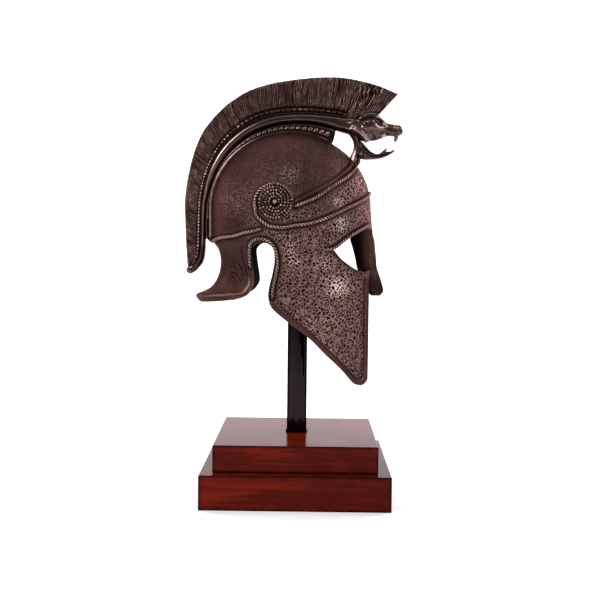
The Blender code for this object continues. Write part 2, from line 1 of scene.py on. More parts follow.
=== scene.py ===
"""Looks of the crested Greek helmet on its post and two-tier wooden base.

The helmet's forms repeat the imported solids' named sizes at a finer grain, with the cast relief added.
"""
import math
from bisect import bisect

import bmesh
import bpy
import numpy as np
from mathutils import Matrix, Vector
from mathutils.kdtree import KDTree


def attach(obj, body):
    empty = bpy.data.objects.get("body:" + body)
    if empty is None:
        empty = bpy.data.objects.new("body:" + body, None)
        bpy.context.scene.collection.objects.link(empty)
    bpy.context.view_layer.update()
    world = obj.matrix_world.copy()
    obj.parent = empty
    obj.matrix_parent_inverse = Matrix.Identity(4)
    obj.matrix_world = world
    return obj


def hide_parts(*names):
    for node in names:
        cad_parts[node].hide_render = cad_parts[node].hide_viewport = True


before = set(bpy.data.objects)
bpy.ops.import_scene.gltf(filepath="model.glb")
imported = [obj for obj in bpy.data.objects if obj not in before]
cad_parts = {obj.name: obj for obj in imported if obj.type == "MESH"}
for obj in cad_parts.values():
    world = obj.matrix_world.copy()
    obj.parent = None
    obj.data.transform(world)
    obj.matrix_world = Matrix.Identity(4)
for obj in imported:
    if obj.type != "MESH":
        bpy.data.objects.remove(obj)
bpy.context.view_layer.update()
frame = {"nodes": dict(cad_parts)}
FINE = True

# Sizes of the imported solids, in metres
BASE_WIDTH = 0.280
BASE_HEIGHT = 0.051
PLINTH_WIDTH = 0.243
PLINTH_HEIGHT = 0.040
CHIN_CLEARANCE = 0.075
HELMET_SETBACK = 0.012
HELMET_LENGTH = 0.248
HELMET_WIDTH = 0.204
BOWL_RISE = 0.117
FACE_HEIGHT = 0.274
SHELL_WALL = 0.006
NASAL_WIDTH = 0.024
FACE_SLIT = 0.036
CREST_HEIGHT = 0.081
CREST_WIDTH = 0.037
BRUSH_WIDTH = 0.018
JAW_LENGTH = 0.104
HEAD_WIDTH = 0.034
ROPE_DIAMETER = 0.0046
RIM_DIAMETER = 0.0030
ROSETTE_DIAMETER = 0.056
ROSETTE_PLATE = 0.0015
SPIRAL_PITCH = 0.0046
SPIRAL_WIRE = 0.0034
GAP = 0.0003
PLINTH_TOP = BASE_HEIGHT + GAP + PLINTH_HEIGHT
RING_HEIGHT = PLINTH_TOP + CHIN_CLEARANCE + FACE_HEIGHT
CUT_REACH = 2 * HELMET_WIDTH
SIDES = (("right", -1), ("left", 1))
# Kinds of the shell's faces
OUTER, INNER, CUT, NASAL = 1, 2, 3, 4
# Value between a groove's 0 and a crest's 1
PLAIN_RELIEF = 0.5

# Front half below the ring: share of the face's drop, forward reach, half width, roundness
FACE_ROWS = (
    (0.00, 0.500, 0.500, 2.00),
    (0.12, 0.512, 0.500, 1.90),
    (0.22, 0.524, 0.490, 1.75),
    (0.35, 0.528, 0.480, 1.62),
    (0.51, 0.528, 0.461, 1.58),
    (0.69, 0.532, 0.420, 1.55),
    (0.88, 0.536, 0.363, 1.55),
    (1.08, 0.540, 0.300, 1.55),
)
# Back half below the ring: share of the face's drop, backward reach, half width
NAPE_ROWS = (
    (0.00, 0.500, 0.500),
    (0.07, 0.500, 0.500),
    (0.13, 0.498, 0.499),
    (0.19, 0.488, 0.494),
    (0.23, 0.456, 0.484),
    (0.29, 0.440, 0.474),
    (0.35, 0.444, 0.470),
    (0.41, 0.468, 0.475),
    (0.45, 0.504, 0.485),
    (0.47, 0.544, 0.495),
    (0.49, 0.593, 0.510),
    (0.53, 0.565, 0.510),
    (0.60, 0.500, 0.505),
    (1.08, 0.480, 0.480),
)
# Side view of the lower edge, from the nape to the brow: forward share of the length, drop share
NECK_EDGE = (
    (-0.565, 0.529), (-0.452, 0.518), (-0.387, 0.511), (-0.310, 0.500), (-0.258, 0.482),
    (-0.230, 0.456), (-0.210, 0.423), (-0.210, 0.383), (-0.218, 0.336), (-0.226, 0.285),
)
EAR_EDGE = (
    (-0.230, 0.234), (-0.206, 0.204), (-0.173, 0.193), (-0.137, 0.197), (-0.109, 0.212),
    (-0.093, 0.237), (-0.089, 0.292), (-0.101, 0.361), (-0.117, 0.420), (-0.125, 0.478),
)
CHEEK_EDGE = (
    (-0.113, 0.529), (-0.081, 0.566), (-0.004, 0.624), (0.121, 0.712), (0.222, 0.807), (0.319, 0.894),
    (0.387, 0.967), (0.419, 0.987), (0.452, 0.993), (0.476, 0.982), (0.492, 0.960), (0.492, 0.340),
)
EYE_EDGE = (
    (0.262, 0.226), (0.290, 0.259), (0.319, 0.285), (0.375, 0.321), (0.415, 0.343), (0.456, 0.352),
    (0.560, 0.340), (0.560, 0.113), (0.460, 0.113), (0.427, 0.120), (0.383, 0.150), (0.331, 0.179),
    (0.290, 0.201),
)
# Nose guard: drop share, then front, side and back as shares of the length, and share of its width
NASAL_ROWS = (
    (0.085, 0.490, 0.440, 0.370, 1.20),
    (0.164, 0.524, 0.462, 0.372, 1.05),
    (0.223, 0.532, 0.462, 0.390, 1.00),
    (0.285, 0.540, 0.466, 0.408, 1.00),
    (0.325, 0.544, 0.474, 0.416, 1.00),
    (0.375, 0.562, 0.488, 0.440, 1.15),
    (0.420, 0.578, 0.498, 0.458, 1.25),
    (0.464, 0.587, 0.516, 0.484, 1.10),
    (0.489, 0.565, 0.536, 0.510, 0.70),
)
# Crest, by degrees from straight ahead: shares of the crest's height above the bowl
BRUSH_ROWS = (
    (47.5, 0.985, 1.500), (50, 0.900, 1.460), (52.5, 0.760, 1.430), (55, 0.600, 1.395), (57.5, 0.510, 1.360),
    (59.4, 0.500, 1.335), (60, 0.645, 1.325), (70, 0.584, 1.206), (80, 0.527, 1.084), (90, 0.500, 1.000),
    (100, 0.490, 0.957), (110, 0.484, 0.927), (120, 0.453, 0.872), (130, 0.406, 0.805), (140, 0.361, 0.735),
    (150, 0.316, 0.642), (160, 0.281, 0.562), (170, 0.264, 0.521), (180, 0.267, 0.511), (190, 0.282, 0.505),
    (200, 0.310, 0.511), (204, 0.315, 0.514), (207, 0.340, 0.517), (209, 0.395, 0.518), (210.5, 0.475, 0.517),
)
SERPENT_ROWS = (
    (60, 0.255, 0.555), (70, 0.214, 0.463), (80, 0.184, 0.408), (90, 0.161, 0.374), (100, 0.145, 0.367),
    (110, 0.130, 0.364), (120, 0.118, 0.345), (130, 0.095, 0.319), (140, 0.078, 0.289), (150, 0.062, 0.252),
    (160, 0.050, 0.219), (170, 0.058, 0.192), (180, 0.086, 0.197), (190, 0.106, 0.203), (200, 0.108, 0.218),
    (204, 0.113, 0.245), (207, 0.122, 0.275), (209, 0.135, 0.330), (210.5, 0.155, 0.410),
    (210.9, 0.162, 0.495), (212, 0.190, 0.510), (213.4, 0.300, 0.475),
)
# Saddle that carries the serpent: degrees and share of its width, round at the front
SADDLE_ROWS = (
    (58.5, 0.30), (60, 0.55), (63, 0.80), (67.5, 0.95), (75, 1.00), (180, 1.00), (190, 0.92), (199, 0.75),
)
SADDLE_END = 202.5
RIM_SHARE = -0.03
RIM_HEIGHT = 0.0045
# Serpent's upper head: throat and crown as forward share of the jaw and share of the crest, and width
HEAD_ROWS = (
    (0.166, 0.148, 0.205, 0.480, 0.80),
    (0.272, 0.062, 0.291, 0.470, 0.90),
    (0.378, 0.019, 0.378, 0.525, 1.00),
    (0.464, 0.019, 0.464, 0.562, 1.00),
    (0.570, 0.031, 0.570, 0.556, 0.92),
    (0.657, 0.068, 0.647, 0.488, 0.78),
    (0.753, 0.117, 0.734, 0.380, 0.65),
    (0.859, 0.117, 0.839, 0.346, 0.56),
    (0.945, 0.136, 0.940, 0.327, 0.42),
    (0.984, 0.185, 0.974, 0.272, 0.22),
)
# Lower jaw: inside and underside as shares of the jaw and crest, and width
JAW_ROWS = (
    (0.290, 0.070, 0.320, -0.300, 0.56),
    (0.379, 0.000, 0.385, -0.328, 0.68),
    (0.442, -0.080, 0.456, -0.333, 0.72),
    (0.500, -0.160, 0.520, -0.331, 0.72),
    (0.580, -0.214, 0.610, -0.321, 0.64),
    (0.660, -0.204, 0.710, -0.286, 0.54),
    (0.725, -0.172, 0.791, -0.237, 0.42),
    (0.800, -0.168, 0.849, -0.182, 0.24),
    (0.854, -0.130, 0.868, -0.140, 0.12),
)
# Stem under the throat: back and front as shares of the jaw, height share of the crest, and width
STEM_ROWS = (
    (0.140, 0.290, -0.500, 0.62),
    (0.170, 0.358, -0.385, 0.56),
    (0.205, 0.354, -0.272, 0.46),
    (0.248, 0.354, -0.136, 0.42),
    (0.243, 0.349, 0.012, 0.50),
    (0.176, 0.368, 0.148, 0.60),
)
# Teeth: root and tip as shares of the jaw and the crest, sideways share of the head, radius at the root
TEETH_ROWS = (
    ((0.890, 0.140), (0.876, 0.012), 0.18, 0.0032),
    ((0.680, -0.200), (0.748, -0.108), 0.13, 0.0034),
)
# Ropes: degrees round the ring from the front, and height share of the rise or, below the ring, the drop
ROPE_ROWS = {
    "temple_rope": (
        (106.8, 0.261), (110.8, 0.211), (113.4, 0.143), (114.6, 0.06), (114.1, -0.019), (112.3, -0.056),
        (105, -0.10), (99, -0.11), (93, -0.11), (86, -0.10), (77, -0.09), (68, -0.07), (59, -0.04),
        (47, 0.00), (37, 0.06), (24, 0.13), (9, 0.20), (0, 0.22),
    ),
    "nape_rope": (
        (110, -0.12), (115, -0.13), (122, -0.14), (133, -0.16), (143, -0.165), (156, -0.175), (168, -0.185),
        (180, -0.19),
    ),
    "brow_rope": (
        (86.5, 0.00), (82, 0.04), (75, 0.09), (68, 0.16), (62, 0.23), (52, 0.32), (44, 0.38), (36, 0.44),
        (24, 0.52), (14, 0.57),
    ),
    "brow_strand": (
        (86.5, 0.06), (81, 0.12), (75, 0.17), (61, 0.29), (51, 0.38), (41, 0.47), (28, 0.56), (17, 0.62),
    ),
    "ear_rope": (
        (122, -0.33), (122.5, -0.28), (121.5, -0.23), (118, -0.195), (113, -0.175), (108, -0.175),
        (103.5, -0.19), (101, -0.22), (99.5, -0.26), (99, -0.31), (100, -0.36), (101, -0.41), (101, -0.45),
        (99.5, -0.49),
    ),
    "eye_rope": ((66, -0.23), (57, -0.22), (48, -0.17), (41, -0.14), (30, -0.11), (20, -0.09)),
    "cheek_rim": (
        (97, -0.53), (88, -0.58), (71, -0.68), (59, -0.77), (47, -0.86), (38, -0.93), (34, -0.95),
        (30, -0.95), (28, -0.93), (27, -0.88), (26.5, -0.80), (26, -0.51), (26, -0.38),
    ),
}
JOINED_ROPES = ("temple_rope", "nape_rope")
SMOOTH_STRANDS = ("brow_strand", "cheek_rim")
ROSETTE_PLACE = (-0.089, 0.06)

# Relief that the cast surface carries, in metres
TWIST_PITCH = 0.0096
HAIR_PITCH = 0.0023
HAIR_DEPTH = 0.0013
BEAD_PITCH = 0.0086
REAR_BEAD_PITCH = 0.0050
COIL_BEAD_PITCH = 0.0042
LOBE_PITCH = 0.0086
EDGE_ROUND = 0.0011
NECK_BAND = 0.0088
ENGRAVING_WIDTH = 0.0017
ENGRAVING_DEPTH = 0.0012
RIDGE_SIZE = 0.0010
HALO_PLACE = 0.0038
HALO_WIDTH = 0.0016
HALO_DEPTH = 0.0005
SWELL_HEIGHT = 0.0006
LUMP_HEIGHT = 0.00045
# Sharpest turn that still shades smoothly, in degrees, for the shell, the hair and the saddle
SHELL_CREASE, HAIR_CREASE, SADDLE_CREASE = 62, 75, 70
# Roundness of the serpent's body, head and jaw
BODY_POWER, HEAD_POWER, JAW_POWER = 2.15, 2.5, 2.6
# Share of the face's drop that the uncut shell and its hollow run down to
FACE_OVERRUN, HOLLOW_OVERRUN = 1.08, 1.12
# Drop share where the nose guard starts to round off, and the length of that end
NASAL_TIP, NASAL_TIP_LENGTH = 0.474, 0.0155
# Shares of the saddle's half width at the foot and the head of its flank
FLANK_FOOT, FLANK_HEAD = 0.92, 0.68
# Degrees from straight ahead where the bead strip starts, and those that the larger beads cover
BAND_START = 58.9
LOBE_SPAN = (62.5, 187.5)
# Spacing of sampled points along outlines, mesh edges and ropes, and the length an outline keeps straight
EDGE_STEP, SAMPLE_STEP, ROPE_STEP = 0.003, 0.0008, 0.0015
STRAIGHT_EDGE = 0.05
# Reach and longest edge of each division of the mesh beside rims and engraved lines
RIM_SPLIT = (0.0105, 0.0014)
LINE_SPLITS = ((0.0045, 0.0012), (0.0028, 0.0007))
QUICK_LINE_SPLITS = ((0.0045, 0.0014),)
SEAM_REACH = 0.007

# Rosette's plate: share of its radius and lift off the shell in metres
PLATE_ROWS = ((1.0, -0.002), (1.0, 0.0006), (0.985, 0.0011), (0.8, 0.0010), (0.5, 0.0010), (0.2, 0.0012))

# Engraved lines on the neck guard: forward share of the length from the ring's centre, drop share
ENGRAVED_LINES = (
    ((-0.287, 0.218), (-0.290, 0.245), (-0.283, 0.282), (-0.270, 0.325), (-0.256, 0.375)),
    ((-0.342, 0.276), (-0.324, 0.291), (-0.304, 0.317), (-0.286, 0.344), (-0.270, 0.373)),
    ((-0.357, 0.299), (-0.336, 0.298), (-0.315, 0.315), (-0.294, 0.344), (-0.279, 0.376)),
    ((-0.364, 0.330), (-0.340, 0.326), (-0.318, 0.340), (-0.300, 0.362), (-0.288, 0.390)),
    ((-0.376, 0.417), (-0.370, 0.385), (-0.352, 0.364), (-0.330, 0.362), (-0.310, 0.380), (-0.296, 0.405)),
    ((-0.362, 0.420), (-0.358, 0.396), (-0.344, 0.384), (-0.330, 0.392), (-0.330, 0.408), (-0.340, 0.412)),
)
# Places painted bright as highlights, laid out like patches rubbed bright: forward share of the length from
# the centre, drop share, radius share, strength
HIGHLIGHT_PLACES = (
    (0.290, 0.430, 0.080, 1.00), (0.000, 0.225, 0.040, 0.80), (0.030, 0.290, 0.050, 0.70),
    (0.210, 0.310, 0.060, 0.65), (0.300, 0.090, 0.055, 0.90), (0.290, -0.020, 0.055, 0.75),
    (0.230, 0.620, 0.110, 0.35), (0.000, -0.170, 0.060, 0.45), (-0.340, -0.030, 0.080, 0.35),
)
# Head's relief lines: forward share of the jaw, height share of the crest, half width and lift in mm
HEAD_RIDGES = (
    ("brow", ((0.200, 0.345), (0.270, 0.385), (0.355, 0.455), (0.421, 0.500), (0.507, 0.530), (0.566, 0.524),
              (0.620, 0.475), (0.680, 0.405), (0.747, 0.340), (0.840, 0.312)), 1.1, 1.4),
    ("socket", ((0.340, 0.390), (0.420, 0.420), (0.504, 0.435), (0.580, 0.410), (0.640, 0.365)), 3.0, -2.6),
    ("eye", ((0.455, 0.392), (0.497, 0.397), (0.545, 0.390)), 1.5, 2.4),
    ("upper_lid", ((0.405, 0.372), (0.451, 0.423), (0.497, 0.440), (0.543, 0.424), (0.570, 0.391)), 0.7, 1.3),
    ("lower_lid", ((0.405, 0.372), (0.445, 0.360), (0.498, 0.352), (0.531, 0.361), (0.570, 0.391)), 0.6, 0.9),
    ("crease", ((0.307, 0.342), (0.386, 0.332), (0.491, 0.320), (0.604, 0.308), (0.703, 0.298)), 0.9, -1.1),
    ("cheekbone", ((0.386, 0.262), (0.490, 0.268), (0.590, 0.262), (0.690, 0.250)), 2.4, 1.7),
    ("muscle", ((0.261, 0.231), (0.321, 0.198), (0.368, 0.139), (0.408, 0.081), (0.441, 0.039)), 4.2, 2.9),
    ("cheek_hollow", ((0.500, 0.200), (0.530, 0.130), (0.550, 0.070)), 2.8, -1.3),
    ("neck_muscle", ((0.156, 0.249), (0.209, 0.229), (0.262, 0.225)), 2.6, 1.5),
    ("pit_rim", ((0.456, 0.078), (0.471, 0.099), (0.486, 0.078), (0.471, 0.057), (0.456, 0.078)), 0.6, 0.9),
    ("pit", ((0.470, 0.078), (0.472, 0.078)), 0.8, -1.4),
    ("lip_bump", ((0.668, 0.124), (0.701, 0.142)), 2.5, 2.4),
    ("lip_hollow", ((0.738, 0.165), (0.750, 0.140)), 1.7, -1.2),
    ("nostril_top", ((0.940, 0.262), (0.950, 0.260)), 1.3, 1.0),
    ("nostril_low", ((0.945, 0.173), (0.955, 0.172)), 1.3, 1.0),
    ("nostril", ((0.918, 0.220), (0.926, 0.215)), 1.1, -1.3),
    ("upper_lip", ((0.418, 0.012), (0.511, 0.010), (0.609, 0.038), (0.708, 0.082), (0.761, 0.108),
                   (0.873, 0.108)), 0.9, 0.8),
)
# Tail's end, in metres: forward place and height from the ring of the inner and outer edge, and width share
TAIL_END_ROWS = (
    (-0.1705, -0.0930, -0.1735, -0.0925, 0.35),
    (-0.1693, -0.0938, -0.1751, -0.0955, 0.70),
    (-0.1668, -0.0948, -0.1746, -0.0992, 0.88),
    (-0.1625, -0.0955, -0.1721, -0.1020, 0.97),
)
# Length of the thin end of a rope, in metres
LONG_TAPERS = {"eye_rope": 0.016}


def between(rows, share):
    """Reads a table's columns at a value between its rows, on a smooth curve through them."""
    keys = [row[0] for row in rows]
    index = min(max(bisect(keys, share) - 1, 0), len(rows) - 2)
    before, low, high, after = (rows[min(max(index + step, 0), len(rows) - 1)] for step in (-1, 0, 1, 2))
    span = high[0] - low[0]
    part = min(max((share - low[0]) / span, 0), 1)
    values = []
    for column in range(1, len(low)):
        leave = (high[column] - before[column]) / (high[0] - before[0]) * span
        arrive = (after[column] - low[column]) / (after[0] - low[0]) * span
        start, end = low[column], high[column]
        bend = 3 * (end - start) - 2 * leave - arrive
        turn = leave + arrive - 2 * (end - start)
        values.append(start + leave * part + bend * part**2 + turn * part**3)
    return values


def smooth_step(low, high, value):
    part = np.clip((value - low) / (high - low), 0, 1)
    return part * part * (3 - 2 * part)


def bell(away, width):
    """One at no distance, falling off smoothly over a width."""
    return np.exp(-((away / width) ** 2))


def hashed(number):
    """A steady random share for a whole number."""
    value = np.sin(np.asarray(number, float) * 12.9898 + 4.1414) * 43758.5453
    return value - np.floor(value)


def wave_noise(u, v=0.0, seed=0.0):
    """Smooth random values between 0 and 1 on a grid of whole numbers."""
    u, v = np.broadcast_arrays(np.asarray(u, float), np.asarray(v, float))
    u0, v0 = np.floor(u), np.floor(v)
    fu, fv = u - u0, v - v0
    fu, fv = fu * fu * (3 - 2 * fu), fv * fv * (3 - 2 * fv)

    def corner(a, b):
        return hashed(a + b * 57.0 + seed * 131.0)

    low = corner(u0, v0) * (1 - fu) + corner(u0 + 1, v0) * fu
    high = corner(u0, v0 + 1) * (1 - fu) + corner(u0 + 1, v0 + 1) * fu
    return low * (1 - fv) + high * fv


# The helmet's surface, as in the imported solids
def ring_sizes(height, inset=0.0):
    half_length, half_width = HELMET_LENGTH / 2, HELMET_WIDTH / 2
    if height >= 0:
        rise = min(height / (BOWL_RISE - inset), 1)
        share = math.sqrt(1 - rise * rise)
        return (half_length - inset) * share, (half_length - inset) * share, (half_width - inset) * share, \
            (half_width - inset) * share, 2.0
    drop = -height / FACE_HEIGHT
    roundness = between(FACE_ROWS, drop)[2]
    offsets = (0,) if inset <= 0 else (-0.9, -0.6, -0.3, 0, 0.3, 0.6, 0.9)
    sizes = []
    for offset in offsets:
        near = max(drop + offset * inset / FACE_HEIGHT, 0)
        side = inset * math.sqrt(1 - offset * offset)
        front, front_width, _ = between(FACE_ROWS, near)
        back, back_width = between(NAPE_ROWS, near)
        sizes.append((
            HELMET_LENGTH * front - side, HELMET_LENGTH * back - side,
            HELMET_WIDTH * front_width - side, HELMET_WIDTH * back_width - side,
        ))
    return *(min(column) for column in zip(*sizes)), roundness


def shell_ring(degrees, height, inset=0.0):
    """Points of the surface at one height, by degrees round the ring from the front (positive is left)."""
    front, back, front_width, back_width, roundness = ring_sizes(height, inset)
    turn = np.radians(np.atleast_1d(np.asarray(degrees, float)))
    ahead, aside = np.cos(turn), np.abs(np.sin(turn))
    power = 2 / roundness
    blend = np.clip((np.degrees(np.arccos(np.clip(ahead, -1, 1))) - 90) / 25, 0, 1)
    blend = blend * blend * (3 - 2 * blend)
    x = np.where(ahead >= 0, front * np.abs(ahead) ** power, back * ahead)
    rear_width = front_width + (back_width - front_width) * blend
    y = np.where(ahead >= 0, front_width * aside**power, rear_width * aside)
    z = np.full(len(x), RING_HEIGHT + height)
    return np.column_stack((x - HELMET_SETBACK, np.copysign(y, np.sin(turn)), z))


def surface_point(degrees, share, lift):
    """A point at a height share, lifted off the surface along its normal."""
    height = share * (BOWL_RISE if share > 0 else FACE_HEIGHT)
    step = 0.0005
    beside = (degrees - 0.3, degrees, degrees + 0.3)
    before, middle, after = (Vector(point) for point in shell_ring(beside, height))
    above = Vector(shell_ring(degrees, height + step)[0])
    below = Vector(shell_ring(degrees, height - step)[0])
    normal = (after - before).cross(above - below).normalized()
    return middle + normal * lift, normal


def degrees_at(forward, height):
    front, back, _, _, roundness = ring_sizes(height)
    if forward >= 0:
        return math.degrees(math.acos(min(forward / front, 1) ** (roundness / 2)))
    return 180 - math.degrees(math.acos(min(-forward / back, 1)))


def side_point(x, z, side, lift):
    """A point on the shell's side at a side-view place."""
    height = z - RING_HEIGHT
    degrees = degrees_at(x + HELMET_SETBACK, height)
    return surface_point(side * degrees, height / (BOWL_RISE if height > 0 else FACE_HEIGHT), lift)


def bowl_radius(degrees):
    turn = np.radians(degrees)
    half = HELMET_LENGTH / 2
    over = half * BOWL_RISE / np.hypot(BOWL_RISE * np.cos(turn), half * np.sin(turn))
    return np.where(degrees > 180, half / np.abs(np.cos(turn)), over)


def crest_points(degrees, rise, aside):
    """Points of the crest by angle, height above the bowl and distance from the middle."""
    turn = np.radians(degrees)
    radius = bowl_radius(degrees) + rise
    x = radius * np.cos(turn) - HELMET_SETBACK
    z = RING_HEIGHT + radius * np.sin(turn)
    x, y, z = np.broadcast_arrays(x, aside, z)
    return np.stack((x, y, z), axis=-1)


def serpent_span(degrees):
    return [CREST_HEIGHT * share for share in between(SERPENT_ROWS, degrees)]


def brush_span(degrees):
    return [CREST_HEIGHT * share for share in between(BRUSH_ROWS, degrees)]


HEAD_FOOT = crest_points(60, serpent_span(60)[0], 0)[0]
HEAD_BASE = RING_HEIGHT + BOWL_RISE - 0.16 * CREST_HEIGHT


def head_point(forward, rise, aside=0.0):
    return Vector((HEAD_FOOT + JAW_LENGTH * forward, aside, HEAD_BASE + CREST_HEIGHT * rise))


# Mesh helpers
def mesh_piece(name, points, faces, smooth=True):
    mesh = bpy.data.meshes.new(name)
    mesh.from_pydata([tuple(point) for point in points], [], [tuple(int(i) for i in face) for face in faces])
    mesh.update()
    piece = bpy.data.objects.new(name, mesh)
    bpy.context.collection.objects.link(piece)
    if smooth:
        mesh.shade_smooth()
    return piece


def grid_faces(rows, columns, around):
    """Faces between rows of points, which run round and join up if asked."""
    last = columns if around else columns - 1
    row, column = np.meshgrid(np.arange(rows - 1), np.arange(last), indexing="ij")
    after = (column + 1) % columns
    this, following = row * columns, (row + 1) * columns
    corners = (this + column, this + after, following + after, following + column)
    return np.stack(corners, axis=-1).reshape(-1, 4)


def loft_piece(name, rings, relief=PLAIN_RELIEF):
    """Skins rings into one closed piece; relief runs from 0 in a groove to 1 on a crest."""
    rings = np.asarray(rings, float)
    count, size = rings.shape[:2]
    points = rings.reshape(-1, 3)
    faces = [tuple(face) for face in grid_faces(count, size, True)]
    points = np.vstack((points, rings[0].mean(0), rings[-1].mean(0)))
    start, end = count * size, count * size + 1
    top = (count - 1) * size
    for index in range(size):
        after = (index + 1) % size
        faces.append((start, after, index))
        faces.append((end, top + index, top + after))
    piece = mesh_piece(name, points, faces)
    outward(piece)
    raised = np.broadcast_to(np.asarray(relief, float), (count, size)).ravel()
    set_values(piece.data, "relief", np.append(raised, (PLAIN_RELIEF, PLAIN_RELIEF)))
    return piece


def outward(piece):
    shape = bmesh.new()
    shape.from_mesh(piece.data)
    bmesh.ops.recalc_face_normals(shape, faces=shape.faces)
    shape.to_mesh(piece.data)
    shape.free()


def combine(piece, other, operation):
    """Joins or cuts with another solid, which is then removed."""
    step = piece.modifiers.new("combine", "BOOLEAN")
    step.operation = operation
    step.solver = "MANIFOLD"
    step.object = other
    bpy.context.view_layer.update()
    evaluated = piece.evaluated_get(bpy.context.evaluated_depsgraph_get())
    mesh = bpy.data.meshes.new_from_object(evaluated)
    piece.modifiers.clear()
    piece.data = mesh
    bpy.data.objects.remove(other, do_unlink=True)


def mark_kind(piece, kind):
    layer = piece.data.attributes.new("kind", "INT", "FACE")
    layer.data.foreach_set("value", np.full(len(piece.data.polygons), kind, np.int32))


def join_pieces(name, pieces):
    """Puts several pieces into one mesh, with their relief."""
    points, faces, relief, start = [], [], [], 0
    for piece in pieces:
        mesh = piece.data
        points.append(points_of(mesh))
        relief.append(values_of(mesh, "relief"))
        faces += [tuple(start + index for index in face.vertices) for face in mesh.polygons]
        start += len(mesh.vertices)
        bpy.data.objects.remove(piece, do_unlink=True)
    joined = mesh_piece(name, np.vstack(points), faces)
    set_values(joined.data, "relief", np.concatenate(relief))
    return joined


def points_of(mesh):
    points = np.zeros(len(mesh.vertices) * 3)
    mesh.vertices.foreach_get("co", points)
    return points.reshape(-1, 3)


def normals_of(mesh):
    normals = np.zeros(len(mesh.vertices) * 3)
    mesh.vertices.foreach_get("normal", normals)
    return normals.reshape(-1, 3)


def kinds_of(mesh):
    kind = np.zeros(len(mesh.polygons), np.int32)
    mesh.attributes["kind"].data.foreach_get("value", kind)
    return kind


def move_points(mesh, points):
    mesh.vertices.foreach_set("co", points.ravel())
    mesh.update()


def set_values(mesh, name, values):
    layer = mesh.attributes.get(name) or mesh.attributes.new(name, "FLOAT", "POINT")
    layer.data.foreach_set("value", np.asarray(values, np.float32))


def values_of(mesh, name):
    values = np.zeros(len(mesh.vertices), np.float32)
    mesh.attributes[name].data.foreach_get("value", values)
    return values


def tree_of(points):
    tree = KDTree(len(points))
    for index, point in enumerate(points):
        tree.insert(point, index)
    tree.balance()
    return tree


def distances(points, tree):
    return np.array([tree.find(point)[2] for point in points])


def split_found(found):
    """Points and normals as two arrays."""
    return np.array([point for point, _ in found]), np.array([normal for _, normal in found])


def lengths_along(points):
    return np.concatenate(((0,), np.cumsum(np.linalg.norm(np.diff(points, axis=0), axis=1))))


def resampled(even, along, rows):
    return np.column_stack([np.interp(even, along, rows[:, axis]) for axis in range(3)])


def side_view(forward, drop):
    """Frame place of a share of the length from the ring's centre and a share of the face's drop."""
    return HELMET_LENGTH * forward - HELMET_SETBACK, RING_HEIGHT - FACE_HEIGHT * drop


# Routes of the ropes and strands
def rope_route(rows, steps):
    table = [(index, *row) for index, row in enumerate(rows)]
    count = (len(rows) - 1) * steps
    return [between(table, index / steps) for index in range(count + 1)]


def rope_line(name, side, lift, spacing):
    """Evenly spaced points and normals along a rope, and the distance along it."""
    rows = ROPE_ROWS[name]
    route = rope_route(rows, 12)
    if name in JOINED_ROPES:
        last = rows[-1][0]
        route += [(2 * last - degrees, share) for degrees, share in reversed(route[:-1])]
    found = [surface_point(side * degrees, share, lift) for degrees, share in route]
    points, normals = split_found(found)
    along = lengths_along(points)
    count = max(int(along[-1] / spacing), 4)
    even = np.linspace(0, along[-1], count)
    points, normals = resampled(even, along, points), resampled(even, along, normals)
    return points, normals / np.linalg.norm(normals, axis=1)[:, None], even


def swept(name, points, normals, radii, sides, relief):
    """A strand along points; radii and relief are given for each ring and side."""
    tangents = np.gradient(points, axis=0)
    tangents /= np.linalg.norm(tangents, axis=1)[:, None]
    out = normals - tangents * np.sum(normals * tangents, axis=1)[:, None]
    out /= np.linalg.norm(out, axis=1)[:, None]
    aside = np.cross(tangents, out)
    turns = np.linspace(0, 2 * math.pi, sides, endpoint=False)
    rings = points[:, None, :] + radii[:, :, None] * (
        out[:, None, :] * np.cos(turns)[None, :, None] + aside[:, None, :] * np.sin(turns)[None, :, None]
    )
    return loft_piece(name, rings, relief)


def strand_piece(name, rope, side):
    """A twisted rope of two strands, or a smooth round one, bedded in the surface."""
    smooth = rope in SMOOTH_STRANDS
    diameter = RIM_DIAMETER if rope == "cheek_rim" else ROPE_DIAMETER
    spacing = 0.0007 if FINE else 0.0012
    points, normals, along = rope_line(rope, side, 0.25 * diameter, spacing * (2 if smooth else 1))
    sides = 12 if smooth else 18
    turns = np.linspace(0, 2 * math.pi, sides, endpoint=False)
    taper = 0.55 + 0.45 * smooth_step(0, 0.006, np.minimum(along, along[-1] - along))
    long_taper = smooth_step(0, LONG_TAPERS.get(rope, 0.002), along)
    taper *= 0.35 + 0.65 * long_taper
    if rope in LONG_TAPERS:
        points = points - normals * (0.45 * diameter * (1 - long_taper))[:, None]
    if smooth:
        relief = np.full((len(along), sides), 0.55)
        radii = np.full((len(along), sides), 0.44 * diameter) * taper[:, None]
    else:
        twist = turns[None, :] - 2 * math.pi * side * along[:, None] / TWIST_PITCH
        relief = np.abs(np.cos(twist))
        radii = 0.5 * diameter * (0.58 + 0.46 * relief) * taper[:, None]
    return swept(name, points, normals, radii, sides, relief)


def eye_rim(side):
    """The plain rounded rim along the lower edge of an eye opening."""
    table = [(index, forward, drop) for index, (forward, drop) in enumerate(EYE_EDGE[:6])]
    found = []
    for index in np.linspace(0, len(table) - 1, 50):
        forward, drop = between(table, index)
        x, z = side_view(forward, drop)
        found.append(side_point(x - 0.0008, z - 0.0012, side, 0.0003))
    points, normals = split_found(found)
    radii = np.full((50, 12), 0.55 * RIM_DIAMETER)
    return swept("eye_rim", points, normals, radii, 12, 0.62)


